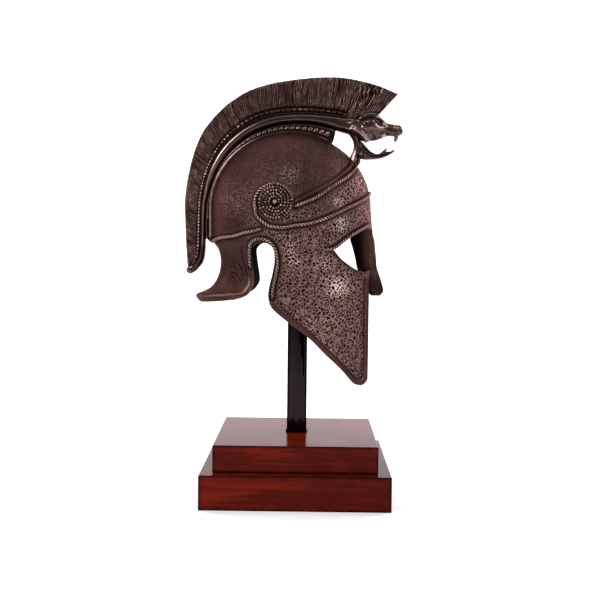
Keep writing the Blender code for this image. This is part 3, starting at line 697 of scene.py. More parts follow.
# The shell
def shell_solid(name, inset, around, heights, kind):
    degrees = 360 * np.arange(around) / around
    rings = [shell_ring(degrees, height, inset) for height in heights]
    points = np.vstack(rings + [np.array([[-HELMET_SETBACK, 0, RING_HEIGHT + BOWL_RISE - inset]])])
    faces = [tuple(face) for face in grid_faces(len(rings), around, True)]
    top = len(points) - 1
    faces += [(top, index, (index + 1) % around) for index in range(around)]
    faces.append(tuple(range((len(rings) - 1) * around, len(rings) * around)))
    solid = mesh_piece(name, points, faces, smooth=False)
    outward(solid)
    mark_kind(solid, kind)
    return solid


def prism(name, outline, low, high):
    points = [(x, low, z) for x, z in outline] + [(x, high, z) for x, z in outline]
    count = len(outline)
    faces = [tuple(range(count)), tuple(reversed(range(count, 2 * count)))]
    faces += [(i, (i + 1) % count, count + (i + 1) % count, count + i) for i in range(count)]
    solid = mesh_piece(name, points, faces, smooth=False)
    outward(solid)
    mark_kind(solid, CUT)
    return solid


def edge_points(rows):
    """A side-view outline in metres, on a smooth curve where its points lie close together."""
    corners = [side_view(forward, drop) for forward, drop in rows]
    table = [(index, *corner) for index, corner in enumerate(corners)]
    fine = []
    for index in range(len(corners) - 1):
        length = math.dist(corners[index], corners[index + 1])
        steps = max(int(length / EDGE_STEP), 1) if length < STRAIGHT_EDGE else 1
        fine += [tuple(between(table, index + step / steps)) for step in range(steps)]
    return fine + [corners[-1]]


def bowl_heights(steps, inset):
    return [(BOWL_RISE - inset) * math.sin(math.radians(88 - 88 * step / steps)) for step in range(steps + 1)]


def face_heights(steps, overrun):
    return [-FACE_HEIGHT * overrun * (step + 1) / steps for step in range(steps)]


def make_shell():
    around, bowl, face = (252, 84, 138) if FINE else (150, 46, 78)
    heights = bowl_heights(bowl, 0) + face_heights(face, FACE_OVERRUN)
    shell = shell_solid("shell_cast", 0, around, heights, OUTER)
    heights = bowl_heights(12, SHELL_WALL) + face_heights(40, HOLLOW_OVERRUN)
    combine(shell, shell_solid("hollow", SHELL_WALL, 60, heights, INNER), "DIFFERENCE")
    edge = edge_points(NECK_EDGE + EAR_EDGE + CHEEK_EDGE[:-1]) + edge_points(CHEEK_EDGE[-1:])
    beyond, under = HELMET_LENGTH, RING_HEIGHT - 1.2 * FACE_HEIGHT
    outline = [(-beyond, under), (-beyond, edge[0][1])] + edge + [(beyond, edge[-1][1]), (beyond, under)]
    combine(shell, prism("lower_cut", outline, -CUT_REACH, CUT_REACH), "DIFFERENCE")
    front, brow = edge[-1]
    slit = [(beyond, under), (beyond, brow), (0.6 * front, brow), (0.6 * front, under)]
    combine(shell, prism("slit_cut", slit, -FACE_SLIT / 2, FACE_SLIT / 2), "DIFFERENCE")
    eye = edge_points(EYE_EDGE[:6]) + edge_points(EYE_EDGE[6:8]) + edge_points(EYE_EDGE[8:])
    for _, side in SIDES:
        span = sorted((side * NASAL_WIDTH / 2, side * CUT_REACH))
        combine(shell, prism("eye_cut", eye, *span), "DIFFERENCE")
    combine(shell, make_nasal(), "UNION")
    return shell


def make_nasal():
    rings = []
    count = 64
    turns = np.linspace(0, math.pi, 15)
    first, last = NASAL_ROWS[0][0], NASAL_ROWS[-1][0]
    for step in range(count + 1):
        drop = first + (last - first) * step / count
        front, middle, back, width = between(NASAL_ROWS, drop)
        half = width * NASAL_WIDTH / 2
        past = max(drop - NASAL_TIP, 0) / NASAL_TIP_LENGTH
        tip = math.sqrt(max(1 - past**2, 0.04))
        near = []
        for turn in turns:
            ahead, aside = math.cos(turn), math.sin(turn)
            reach = front - middle if ahead > 0 else middle - back
            share = middle + reach * math.copysign(abs(ahead) ** 0.9, ahead)
            width_here = max(aside, 0) ** 0.75 * half * (1 if ahead > 0 else 0.8 + 0.2 * aside)
            x, z = side_view(share, drop)
            near.append((x, width_here * tip, z))
        rings.append(near + [(x, -y, z) for x, y, z in reversed(near[1:-1])])
    nasal = loft_piece("nasal", rings)
    mark_kind(nasal, NASAL)
    return nasal


def engraved_points(side):
    found = []
    for line in ENGRAVED_LINES:
        for forward, drop in rope_route(line, 14):
            found.append(side_point(*side_view(forward, drop), side, 0)[0])
    return found


def cut_edges(shape, kinds):
    """Edges where the outer skin meets a cut face, and those where it meets the nose guard."""
    rims, seams = [], []
    for edge in shape.edges:
        if len(edge.link_faces) != 2:
            continue
        pair = {face[kinds] for face in edge.link_faces}
        if pair == {OUTER, NASAL}:
            seams.append(edge)
        elif OUTER in pair and len(pair) == 2:
            rims.append(edge)
    return rims, seams


def sampled(edges):
    found = []
    for edge in edges:
        start, end = (vert.co for vert in edge.verts)
        steps = max(int((end - start).length / SAMPLE_STEP), 1)
        found += [start.lerp(end, step / steps) for step in range(steps)]
    return found


def split_near(shape, tree, reach, longest):
    """Divides the edges near a set of points once."""
    chosen = []
    for edge in shape.edges:
        if edge.calc_length() < longest:
            continue
        if tree.find((edge.verts[0].co + edge.verts[1].co) / 2)[2] < reach:
            chosen.append(edge)
    bmesh.ops.subdivide_edges(shape, edges=chosen, cuts=1, use_grid_fill=True)
    bmesh.ops.triangulate(shape, faces=[face for face in shape.faces if len(face.verts) > 4])


def finish_shell(shell):
    """Adds the rims, the bands and the engraving, and the values that the material reads."""
    shape = bmesh.new()
    shape.from_mesh(shell.data)
    kinds = shape.faces.layers.int["kind"]
    bmesh.ops.dissolve_degenerate(shape, edges=shape.edges, dist=0.00003)
    bmesh.ops.triangulate(shape, faces=[face for face in shape.faces if len(face.verts) > 4])
    rims, seams = cut_edges(shape, kinds)
    rim_tree = tree_of(sampled(rims))
    seam_tree = tree_of(sampled(seams))
    if FINE:
        split_near(shape, rim_tree, *RIM_SPLIT)
    lines = [point for _, side in SIDES for point in engraved_points(side)]
    line_tree = tree_of(lines)
    for reach, longest in LINE_SPLITS if FINE else QUICK_LINE_SPLITS:
        split_near(shape, line_tree, reach, longest)
    shape.to_mesh(shell.data)
    shape.free()

    mesh = shell.data
    outer = np.zeros(len(mesh.vertices), bool)
    guard = np.zeros(len(mesh.vertices), bool)
    for face, value in zip(mesh.polygons, kinds_of(mesh)):
        if value == OUTER:
            outer[list(face.vertices)] = True
        elif value == NASAL:
            guard[list(face.vertices)] = True
    points = points_of(mesh)
    normals = normals_of(mesh)
    seam_near = distances(points, seam_tree)
    rim_near = distances(points, rim_tree)
    rope_points = []
    for rope in ROPE_ROWS:
        for _, side in SIDES:
            if rope in JOINED_ROPES and side > 0:
                continue
            if rope != "cheek_rim":
                thin = int(LONG_TAPERS.get(rope, 0) / ROPE_STEP)
                rope_points.append(rope_line(rope, side, 0, ROPE_STEP)[0][thin:])
    rope_near = distances(points, tree_of(np.vstack(rope_points)))
    line_near = distances(points, line_tree)
    x, y, z = points.T
    forward = (x + HELMET_SETBACK) / HELMET_LENGTH
    drop = (RING_HEIGHT - z) / FACE_HEIGHT
    neck = smooth_step(-0.195, -0.235, forward) * smooth_step(0.17, 0.20, drop)

    # Relief of the outer skin, along its normals
    lift = np.zeros(len(points))
    lift -= np.where(outer, EDGE_ROUND * (1 - np.sqrt(1 - np.clip(1 - rim_near / EDGE_ROUND, 0, 1) ** 2)), 0)
    ridge = bell(rim_near - NECK_BAND, RIDGE_SIZE) * RIDGE_SIZE
    swell = smooth_step(NECK_BAND, NECK_BAND - 0.004, rim_near) * SWELL_HEIGHT
    low_neck = neck * smooth_step(0.37, 0.42, drop + 0.25 * np.clip(-0.25 - forward, 0, 1))
    lift += outer * low_neck * (ridge + swell)
    halo = bell(rope_near - HALO_PLACE, HALO_WIDTH)
    lift -= outer * halo * HALO_DEPTH
    groove = bell(line_near, ENGRAVING_WIDTH * 0.75) * outer
    lift -= groove * ENGRAVING_DEPTH
    slow = wave_noise(x / 0.021 + 7, z / 0.019 + y / 0.03) + 0.6 * wave_noise(x / 0.009, z / 0.010 + 9)
    lift += outer * (1 - neck) * LUMP_HEIGHT * (slow - 0.8) * smooth_step(0, 0.006, rim_near)
    points += normals * lift[:, None]
    near_seam = (seam_near < SEAM_REACH) & (outer | guard)
    move_points(mesh, points)
    relax(mesh, near_seam, 6)

    calm_rope = smooth_step(0.0085, 0.0040, rope_near)
    front_rim = smooth_step(-0.12, -0.09, forward) * smooth_step(0.36, 0.40, drop)
    calm_rim = smooth_step(0.0095, 0.0070, rim_near) * front_rim
    ridge_front = smooth_step(0.0160, 0.0130, np.abs(y)) * smooth_step(0.36, 0.42, forward)
    ridge_front *= smooth_step(0.09, 0.12, drop)
    calm = np.maximum.reduce((calm_rope, calm_rim, neck, guard * 1.0, ridge_front))
    coil_away = np.hypot(
        forward - ROSETTE_PLACE[0], (z - RING_HEIGHT - BOWL_RISE * ROSETTE_PLACE[1]) / HELMET_LENGTH
    )
    coarse = smooth_step(-0.02, 0.10, drop - 0.35 * np.clip(forward - 0.05, 0, 1) + 0.10) * (1 - neck)
    coarse *= smooth_step(-0.30, -0.14, forward)
    coarse = np.maximum(coarse, smooth_step(0.20, 0.34, forward) * (drop > -0.35))
    fine = smooth_step(0.50, 0.20, coil_away)
    # Painted highlights round the given places, read by the material as shine
    shine = np.zeros(len(points))
    for place, low, radius, strength in HIGHLIGHT_PLACES:
        away = np.hypot(forward - place, (z - RING_HEIGHT + FACE_HEIGHT * low) / HELMET_LENGTH)
        shine = np.maximum(shine, strength * bell(away, radius))
    set_values(mesh, "coarse", coarse * (1 - calm))
    set_values(mesh, "fine", (0.72 + 0.28 * fine) * (1 - calm))
    set_values(mesh, "calm", calm)
    set_values(mesh, "shine", shine)
    # Painted shade in a band beside the ropes, and dark patina in the engraved lines
    beside = smooth_step(0.0066, 0.0036, rope_near) * smooth_step(0.0012, 0.0026, rope_near)
    set_values(mesh, "halo", np.maximum(beside, groove))
    set_values(mesh, "line", outer * low_neck * ridge / RIDGE_SIZE * smooth_step(-0.56, -0.40, forward))
    set_values(mesh, "neck", neck)
    shadow = np.maximum(smooth_step(0.50, 0.415, forward), 0.55 * smooth_step(0.36, 0.42, drop))
    set_values(mesh, "guard", guard * shadow)
    mesh.shade_smooth()
    mesh.set_sharp_from_angle(angle=math.radians(SHELL_CREASE))


def relax(mesh, chosen, rounds):
    """Evens out the chosen vertices towards their neighbours."""
    shape = bmesh.new()
    shape.from_mesh(mesh)
    verts = [vert for vert, wanted in zip(shape.verts, chosen) if wanted]
    axes = {"use_axis_x": True, "use_axis_y": True, "use_axis_z": True}
    for _ in range(rounds):
        bmesh.ops.smooth_vert(shape, verts=verts, factor=0.5, **axes)
    shape.to_mesh(mesh)
    shape.free()


# The crest
def crest_rings(angles, half_profile):
    rings = []
    for degrees in angles:
        near = np.array(half_profile(degrees))
        far = near[::-1] * np.array((1, -1))
        section = np.vstack((near, far))
        rings.append(crest_points(degrees, section[:, 0], section[:, 1]))
    return rings


def arc_lengths(angles, radius):
    """Distance along a curve that runs round the ring's centre."""
    steps = np.radians(np.diff(angles)) * 0.5 * (radius[1:] + radius[:-1])
    return np.concatenate(((0,), np.cumsum(steps)))


def make_hair():
    """The hair: waved strands that run out from the holder, bright where they stand out."""
    columns, rows = (1500, 28) if FINE else (700, 16)
    angles = np.linspace(BRUSH_ROWS[0][0], BRUSH_ROWS[-1][0], columns)
    spans = np.array([brush_span(degrees) for degrees in angles])
    root, top = spans[:, 0], spans[:, 1]
    along = arc_lengths(angles, bowl_radius(angles) + 0.5 * (root + top))
    a, t = np.meshgrid(along, np.linspace(0, 1, rows), indexing="ij")
    length = (top - root)[:, None] * t
    upright = np.where(angles < 90, 0.50 * (90 - angles) * smooth_step(50, 64, angles), -0.33 * (angles - 90))
    drift = np.tan(np.radians(upright))[:, None] * length
    rear = smooth_step(120, 165, angles)[:, None]
    layers, reliefs = [], []
    for side in (-1, 1):
        wander = wave_noise(a / 0.012, length / 0.014, 3 + side) - 0.5
        wander += 0.55 * (wave_noise(a / 0.0045, length / 0.0065, 5 + side) - 0.5)
        phase = (a - drift) / HAIR_PITCH + 1.5 * wander
        number = np.floor(phase + 0.5)
        strand = np.abs(np.cos(math.pi * phase))
        broken = wave_noise(number * 3.1, length / 0.0085 + 5 * hashed(number), 9 + side)
        clump = wave_noise(a / 0.010, length / 0.035, 8 + side)
        raised = strand * (0.30 + 0.40 * hashed(number + 31 * side) + 0.45 * broken)
        depth = HAIR_DEPTH * (1.25 * raised + 0.45 * clump - 1.50) * (0.35 + 0.65 * smooth_step(0, 0.10, t))
        belly = 0.5 * BRUSH_WIDTH * (1 - 0.10 * t - 0.16 * smooth_step(0.90, 1.0, t))
        layers.append(belly + depth)
        lit = np.clip(raised * strand * (0.80 + 0.45 * clump) * (1 + 0.45 * rear), 0, 1)
        reliefs.append(lit * (0.55 + 0.45 * smooth_step(0, 0.12, t)))
    ragged = 0.35 * HAIR_DEPTH * hashed(np.floor(along / HAIR_PITCH + 0.5) + 77)[:, None]
    right = crest_points(angles[:, None], root[:, None] + length - ragged * t**6, -layers[0])
    left = crest_points(angles[:, None], root[:, None] + length - ragged * t**6, layers[1])
    crown = crest_points(angles[:, None], top[:, None] - ragged, 0)
    rings = np.concatenate((right, crown, left[:, ::-1]), axis=1)
    crown_relief = 0.5 * (reliefs[0][:, -1:] + reliefs[1][:, -1:])
    relief = np.concatenate((reliefs[0], crown_relief, reliefs[1][:, ::-1]), axis=1)
    hair = loft_piece("crest_hair", rings, relief)
    hair.data.set_sharp_from_angle(angle=math.radians(HAIR_CREASE))
    return hair


def make_bead_band():
    """The strip under the hair, with its row of small beads."""
    columns, rows = (900, 14) if FINE else (420, 10)
    angles = np.linspace(BAND_START, BRUSH_ROWS[-1][0], columns)
    low = np.array([serpent_span(degrees)[1] for degrees in angles]) - 0.0005
    high = np.array([brush_span(max(degrees, 60))[0] for degrees in angles])
    t = np.linspace(0, 1, rows)[None, :]
    tall = (high - low)[:, None]
    rear = smooth_step(105, 160, angles)
    pitch = BEAD_PITCH + (REAR_BEAD_PITCH - BEAD_PITCH) * rear
    steps = np.diff(arc_lengths(angles, bowl_radius(angles) + 0.5 * (low + high)), prepend=0)
    cell = np.cumsum(steps / pitch)[:, None]
    number = np.floor(cell)
    u = 2 * (cell - number) - 1
    v = (t - 0.5) * tall / np.minimum(0.0026, 0.34 * tall)
    bead = np.clip(1 - np.abs(u * 1.12) ** 3.5 - np.abs(v) ** 3.0, 0, 1) ** 0.5
    out = 0.28 * CREST_WIDTH * (1 - 0.08 * t) - 0.0020 + 0.0034 * bead * (0.70 + 0.30 * hashed(number))
    near = crest_points(angles[:, None], low[:, None] + tall * t, -out)
    far = near[:, ::-1] * np.array((1, -1, 1))
    # Beads towards the rear get raised relief: a painted highlight there
    relief = 0.05 + bead * (0.42 + 0.28 * hashed(number + 9) + 0.30 * rear[:, None])
    rings = np.concatenate((near, far), axis=1)
    return loft_piece("crest_beads", rings, np.concatenate((relief, relief[:, ::-1]), axis=1))


def saddle_sizes(degrees):
    half = between(SADDLE_ROWS, degrees)[0] * CREST_WIDTH / 2
    rim = CREST_HEIGHT * RIM_SHARE + RIM_HEIGHT
    high = max(serpent_span(max(degrees, 60))[0] - GAP, rim + 0.0012)
    front = float(smooth_step(57.9, 61.0, degrees))
    rear = float(smooth_step(SADDLE_END, 199, degrees))
    return half * (0.4 + 0.6 * rear), rim, rim + 0.0010 + (high - rim - 0.0010) * front * rear


def make_saddle():
    """The smooth saddle: a rounded rim at its foot and a plain ridge under the serpent."""
    def profile(degrees):
        half, rim, high = saddle_sizes(degrees)
        foot, head = np.array((rim, FLANK_FOOT * half)), np.array((high, FLANK_HEAD * half))
        flank = head - foot
        length = max(np.linalg.norm(flank), 0.0012)
        out = np.array((-flank[1], flank[0])) / length
        rows = [(-SHELL_WALL, half), (rim - 0.0050, half)]
        centre = np.array((rim - 0.0022, 0.93 * half - 0.0006))
        for turn in np.radians((-25, 5, 35, 65, 95, 125)):
            rows.append(tuple(centre + 0.0026 * np.array((math.sin(turn), math.cos(turn)))))
        band = min(0.0016, 0.24 * length)
        for share, lift in ((0.06, -0.0010), (0.30, -0.0012), (0.60, -0.0012)):
            rows.append(tuple(foot + flank * share + out * lift))
        for turn in np.radians((-70, -25, 20, 65)):
            place = head - flank / length * (1.15 * band)
            step = flank / length * math.sin(turn) + out * (math.cos(turn) - 0.45)
            rows.append(tuple(place + band * step))
        rows.append((high, 0.60 * half))
        return rows

    angles = np.linspace(SADDLE_ROWS[0][0], SADDLE_END, 190 if FINE else 90)
    near = np.array((0.5, 0.6, 0.8, 1.0, 1.0, 0.9, 0.6, 0.4, 0.25, 0.25, 0.25, 0.4, 0.6, 0.7, 0.6, 0.3))
    rear = smooth_step(100, 160, angles)[:, None]
    # Relief raised towards the rear: a painted highlight there
    relief = near * (0.62 + 0.38 * rear)
    relief = np.concatenate((relief, relief[:, ::-1]), axis=1)
    saddle = loft_piece("saddle_cast", crest_rings(angles, profile), relief)
    saddle.data.set_sharp_from_angle(angle=math.radians(SADDLE_CREASE))
    return saddle


def make_lobe_row(name, side):
    """The row of larger hooked beads on the saddle's flank."""
    columns, rows = (560, 14) if FINE else (260, 10)
    angles = np.linspace(*LOBE_SPAN, columns)
    sizes = np.array([saddle_sizes(degrees) for degrees in angles])
    half, rim, high = sizes.T
    foot = np.stack((rim, FLANK_FOOT * half), axis=-1)
    head = np.stack((high, FLANK_HEAD * half), axis=-1)
    flank = head - foot
    length = np.linalg.norm(flank, axis=1)
    out = np.stack((-flank[:, 1], flank[:, 0]), axis=-1) / length[:, None]
    along = arc_lengths(angles, bowl_radius(angles) + rim)
    t = np.linspace(0, 1, rows)[None, :]
    share = 0.08 + 0.62 * t
    cell = along[:, None] / LOBE_PITCH
    lean = 0.16 * (t - 0.5)
    number = np.floor(cell + lean)
    u = 2 * (cell + lean - number) - 1
    v = 2 * t - 1
    lump = np.clip(1 - np.abs(u * 1.05) ** 2.6 - np.abs(v) ** 2.6, 0, 1) ** 0.5
    dimple = np.exp(-(((u + 0.15) / 0.28) ** 2 + ((v + 0.25) / 0.35) ** 2))
    pressed = 1 - 0.45 * dimple * (0.5 + hashed(number + 5))
    rise = np.minimum(0.0030, 0.35 * length)[:, None] * lump * pressed
    face = foot[:, None, :] + flank[:, None, :] * share[..., None]
    top = face + out[:, None, :] * (-0.0008 + rise)[..., None]
    under = face[:, ::-1] - out[:, None, :] * 0.0016
    section = np.concatenate((top, under), axis=1)
    rings = crest_points(angles[:, None], section[..., 0], side * section[..., 1])
    raised = 0.05 + 0.82 * lump * (1 - 0.75 * dimple)
    return loft_piece(name, rings, np.concatenate((raised, 0 * raised), axis=1))


def oval_ring(low, high, half, count, power):
    """A rounded ring between a low and a high point, in the plane that holds both and the sideways axis."""
    low, high = np.array(low), np.array(high)
    middle, reach = (low + high) / 2, (high - low) / 2
    turns = np.linspace(0, 2 * math.pi, count, endpoint=False) - math.pi / 2
    up = np.sign(np.sin(turns)) * np.abs(np.sin(turns)) ** (2 / power)
    aside = np.sign(np.cos(turns)) * np.abs(np.cos(turns)) ** (2 / power)
    return middle + up[:, None] * reach + aside[:, None] * np.array((0, half, 0))


def head_rings(rows, steps, count, power):
    table = [(index, *row) for index, row in enumerate(rows)]
    rings = []
    for index in range((len(rows) - 1) * steps + 1):
        low_x, low_z, high_x, high_z, width = between(table, index / steps)
        low, high = head_point(low_x, low_z), head_point(high_x, high_z)
        rings.append(oval_ring(low, high, width * HEAD_WIDTH / 2, count, power))
    return rings


def body_rings(count):
    rings = []
    for low_x, low_z, high_x, high_z, width in TAIL_END_ROWS:
        low, high = (low_x, 0, RING_HEIGHT + low_z), (high_x, 0, RING_HEIGHT + high_z)
        rings.append(oval_ring(low, high, 0.30 * CREST_WIDTH * width, count, BODY_POWER))
    last = SERPENT_ROWS[-1][0]
    for degrees in np.linspace(last, 60.5, 200 if FINE else 100):
        low, high = serpent_span(degrees)
        fade = min((last - degrees) / 30, 1)
        half = (0.60 + 0.12 * fade) * CREST_WIDTH / 2
        start, end = crest_points(degrees, low, 0), crest_points(degrees, high, 0)
        power = BODY_POWER + 0.25 * float(smooth_step(75, 62, degrees))
        rings.append(oval_ring(start, end, half, count, power))
    return rings


def carve_head(piece):
    """Lifts and sinks the head's ridges, socket, eye and lips along the surface."""
    mesh = piece.data
    points = points_of(mesh)
    normals = normals_of(mesh)
    forward = (points[:, 0] - HEAD_FOOT) / JAW_LENGTH
    rise = (points[:, 2] - HEAD_BASE) / CREST_HEIGHT
    chosen = np.nonzero(forward > 0.05)[0]
    flat = np.column_stack((forward * JAW_LENGTH, np.zeros(len(forward)), rise * CREST_HEIGHT))
    facing = smooth_step(0.0, 0.4, np.abs(normals[:, 1]))
    lift = np.zeros(len(points))
    for _, line, width, height in HEAD_RIDGES:
        route = rope_route(line, 10)
        tree = tree_of([(x * JAW_LENGTH, 0, z * CREST_HEIGHT) for x, z in route])
        near = np.ones(len(points))
        near[chosen] = distances(flat[chosen], tree)
        lift += 0.001 * height * bell(near, 0.001 * width) * facing
    points += normals * lift[:, None]
    move_points(mesh, points)
    # The body's rear gets a raised relief value: a painted highlight along it
    turn = np.degrees(np.arctan2(points[:, 2] - RING_HEIGHT, points[:, 0] + HELMET_SETBACK)) % 360
    rear = smooth_step(105, 165, turn) * smooth_step(207, 200, turn) * (forward < 0)
    set_values(mesh, "relief", np.clip(0.52 + 220 * lift + 0.36 * rear, 0, 1))


def make_serpent():
    count = 72 if FINE else 36
    steps = 24 if FINE else 8
    rings = body_rings(count) + head_rings(HEAD_ROWS, steps, count, HEAD_POWER)[1:]
    serpent = loft_piece("serpent_cast", rings)
    carve_head(serpent)
    jaw = make_jaw(count, steps)
    stem = make_stem()
    teeth = make_teeth()
    return join_pieces("serpent_cast", [serpent, jaw, stem, *teeth])


def make_jaw(count, steps):
    """The lower jaw, hollowed at its sides under a rounded inner edge."""
    rings = np.array(head_rings(JAW_ROWS, steps, count, JAW_POWER))
    turns = np.linspace(0, 2 * math.pi, count, endpoint=False) - math.pi / 2
    up = np.sin(turns)
    waist = bell(up + 0.02, 0.50)
    share = np.linspace(0, 1, len(rings))
    ends = smooth_step(0, 0.12, share) * smooth_step(1, 0.80, share)
    rings[:, :, 1] *= 1 - 0.50 * ends[:, None] * waist[None, :]
    relief = 0.38 + 0.60 * smooth_step(-0.50, -0.80, up) + 0.20 * smooth_step(0.10, 0.90, up)
    return loft_piece("jaw", rings, relief[None, :])


def make_stem():
    """The stem between throat and bowl, with an upright ridge and a groove on each side."""
    rings, relief = [], []
    table = [(row[2], row[0], row[1], row[3]) for row in STEM_ROWS]
    turns = np.linspace(0, 2 * math.pi, 48, endpoint=False)
    ahead = np.sign(np.cos(turns)) * np.abs(np.cos(turns)) ** 0.75
    aside = np.sign(np.sin(turns)) * np.abs(np.sin(turns)) ** 0.75
    flute = 1 + 0.12 * bell(ahead - 0.05, 0.26)
    flute = flute - 0.34 * bell(ahead - 0.56, 0.17)
    for rise in np.linspace(table[0][0], table[-1][0], 40 if FINE else 20):
        back, front, width = between(table, rise)
        middle, reach = (back + front) / 2, (front - back) / 2
        half = width * HEAD_WIDTH / 2
        rings.append([
            head_point(middle + reach * forward, rise, half * out)
            for forward, out in zip(ahead, aside * flute)
        ])
        relief.append(np.clip(1.6 * (flute - 0.70), 0, 1))
    return loft_piece("stem", rings, relief)


def make_teeth():
    teeth = []
    for root, tip, aside, thick in TEETH_ROWS:
        for _, side in SIDES:
            start = head_point(*root, side * aside * HEAD_WIDTH)
            end = head_point(*tip, side * aside * HEAD_WIDTH)
            rings = []
            for share in np.linspace(0, 1, 11):
                middle = start.lerp(end, share) + Vector((0, 0, -0.0025 * share * (1 - share)))
                radius = thick * (1 - share) ** 0.5 + 0.0002
                rings.append([
                    middle + Vector((radius * math.cos(turn), radius * math.sin(turn), 0))
                    for turn in np.linspace(0, 2 * math.pi, 12, endpoint=False)
                ])
            teeth.append(loft_piece("tooth", rings, 0.7))
    return teeth


def make_rosette(name, side):
    """A coil of beads round a boss, on a dark plate."""
    centre_x = HELMET_LENGTH * ROSETTE_PLACE[0] - HELMET_SETBACK
    centre_z = RING_HEIGHT + BOWL_RISE * ROSETTE_PLACE[1]

    def place(radius, turn, lift):
        return side_point(centre_x + radius * math.cos(turn), centre_z + radius * math.sin(turn), side, lift)

    outer = ROSETTE_DIAMETER / 2
    rings = []
    for share, lift in PLATE_ROWS:
        rings.append([place(share * outer, 2 * math.pi * step / 48, lift)[0] for step in range(48)])
    plate = loft_piece("plate", rings, 0.12)
    turns = (outer - SPIRAL_WIRE) / SPIRAL_PITCH
    spacing = 0.0005 if FINE else 0.0009
    radius_of = lambda turn: SPIRAL_WIRE / 2 + SPIRAL_PITCH * turn / (2 * math.pi)
    angles = [0.95 * 2 * math.pi]
    while angles[-1] < turns * 2 * math.pi:
        angles.append(angles[-1] + 4 * spacing / radius_of(angles[-1]))
    found = [place(radius_of(turn), turn, ROSETTE_PLATE) for turn in angles]
    points, normals = split_found(found)
    along = lengths_along(points)
    even = np.arange(0, along[-1], spacing)
    points, normals = resampled(even, along, points), resampled(even, along, normals)
    uneven = even / COIL_BEAD_PITCH + 0.5 * wave_noise(even / 0.006)
    bead = np.abs(np.sin(math.pi * uneven)) * (0.70 + 0.30 * hashed(np.floor(uneven)))
    beads = np.repeat(bead[:, None], 12, axis=1)
    coil = swept("coil", points, normals, 0.5 * SPIRAL_WIRE * (0.52 + 0.56 * beads), 12, beads)
    rings = []
    for share in np.linspace(0, 1, 8):
        lift = ROSETTE_PLATE - 0.001 + 0.0030 * math.sin(share * math.pi / 2)
        radius = 0.0034 * math.cos(share * math.pi / 2) + 0.0001
        rings.append([place(radius, 2 * math.pi * step / 20, lift)[0] for step in range(20)])
    boss = loft_piece("boss", rings, 0.8)
    return join_pieces(name, [plate, coil, boss])


# Materials
def new_material(name):
    material = bpy.data.materials.new(name)
    material.use_nodes = True
    return material, material.node_tree, material.node_tree.nodes["Principled BSDF"]


def add_node(tree, kind, **settings):
    node = tree.nodes.new(kind)
    for key, value in settings.items():
        if hasattr(node, key):
            setattr(node, key, value)
        else:
            node.inputs[key.replace("_", " ")].default_value = value
    return node


def math_node(tree, operation, first, second=None, clamp=False):
    node = add_node(tree, "ShaderNodeMath", operation=operation)
    node.use_clamp = clamp
    for socket, value in zip(node.inputs, (first, second)):
        if value is None:
            continue
        if isinstance(value, (int, float)):
            socket.default_value = value
        else:
            tree.links.new(value, socket)
    return node.outputs[0]


def times(tree, first, second, clamp=False):
    return math_node(tree, "MULTIPLY", first, second, clamp)


def plus(tree, first, second):
    return math_node(tree, "ADD", first, second)


def minus(tree, first, second, clamp=False):
    return math_node(tree, "SUBTRACT", first, second, clamp)


def most(tree, first, second):
    return math_node(tree, "MAXIMUM", first, second)


def least(tree, first, second):
    return math_node(tree, "MINIMUM", first, second)


def size_of(tree, value):
    return math_node(tree, "ABSOLUTE", value)


def step_node(tree, value, low, high, start=0.0, end=1.0):
    """A smooth step of a value from one level to another."""
    node = add_node(tree, "ShaderNodeMapRange", interpolation_type="SMOOTHSTEP")
    tree.links.new(value, node.inputs["Value"])
    for name, number in (("From Min", low), ("From Max", high), ("To Min", start), ("To Max", end)):
        node.inputs[name].default_value = number
    return node.outputs["Result"]


def mix_colours(tree, share, first, second):
    node = add_node(tree, "ShaderNodeMix", data_type="RGBA")
    for socket, value in ((node.inputs["Factor"], share), (node.inputs[6], first), (node.inputs[7], second)):
        if isinstance(value, tuple):
            socket.default_value = (*value, 1)
        elif isinstance(value, (int, float)):
            socket.default_value = value
        else:
            tree.links.new(value, socket)
    return node.outputs[2]


def noise(tree, scale, detail, roughness, vector=None, distortion=0.0):
    node = add_node(tree, "ShaderNodeTexNoise")
    node.inputs["Scale"].default_value = scale
    node.inputs["Detail"].default_value = detail
    node.inputs["Roughness"].default_value = roughness
    node.inputs["Distortion"].default_value = distortion
    tree.links.new(vector or place_of(tree), node.inputs["Vector"])
    return node.outputs["Fac"]


def place_of(tree):
    node = tree.nodes.get("place") or add_node(tree, "ShaderNodeTexCoord")
    node.name = "place"
    return node.outputs["Object"]


def shaken_place(tree, scale, amount):
    """Places moved a little by noise, so that cells aren't even."""
    node = add_node(tree, "ShaderNodeTexNoise")
    node.inputs["Scale"].default_value = scale
    tree.links.new(place_of(tree), node.inputs["Vector"])
    shift = add_node(tree, "ShaderNodeVectorMath", operation="MULTIPLY_ADD")
    tree.links.new(node.outputs["Color"], shift.inputs[0])
    shift.inputs[1].default_value = (amount, amount, amount)
    tree.links.new(place_of(tree), shift.inputs[2])
    return shift.outputs["Vector"]


def cell_walls(tree, scale, vector):
    """Distance from the walls between uneven cells."""
    node = add_node(tree, "ShaderNodeTexVoronoi", feature="DISTANCE_TO_EDGE")
    node.inputs["Scale"].default_value = scale
    tree.links.new(vector, node.inputs["Vector"])
    return node.outputs["Distance"]


def attribute(tree, name):
    return add_node(tree, "ShaderNodeAttribute", attribute_name=name).outputs["Fac"]


def edge_wear(tree):
    """Share of brightness on edges that handling has polished."""
    node = add_node(tree, "ShaderNodeNewGeometry")
    return times(tree, step_node(tree, node.outputs["Pointiness"], 0.53, 0.62), 0.35)


def add_bump(tree, surface, height, distance, strength):
    bump = add_node(tree, "ShaderNodeBump")
    bump.inputs["Strength"].default_value = strength
    bump.inputs["Distance"].default_value = distance
    tree.links.new(height, bump.inputs["Height"])
    tree.links.new(bump.outputs["Normal"], surface.inputs["Normal"])


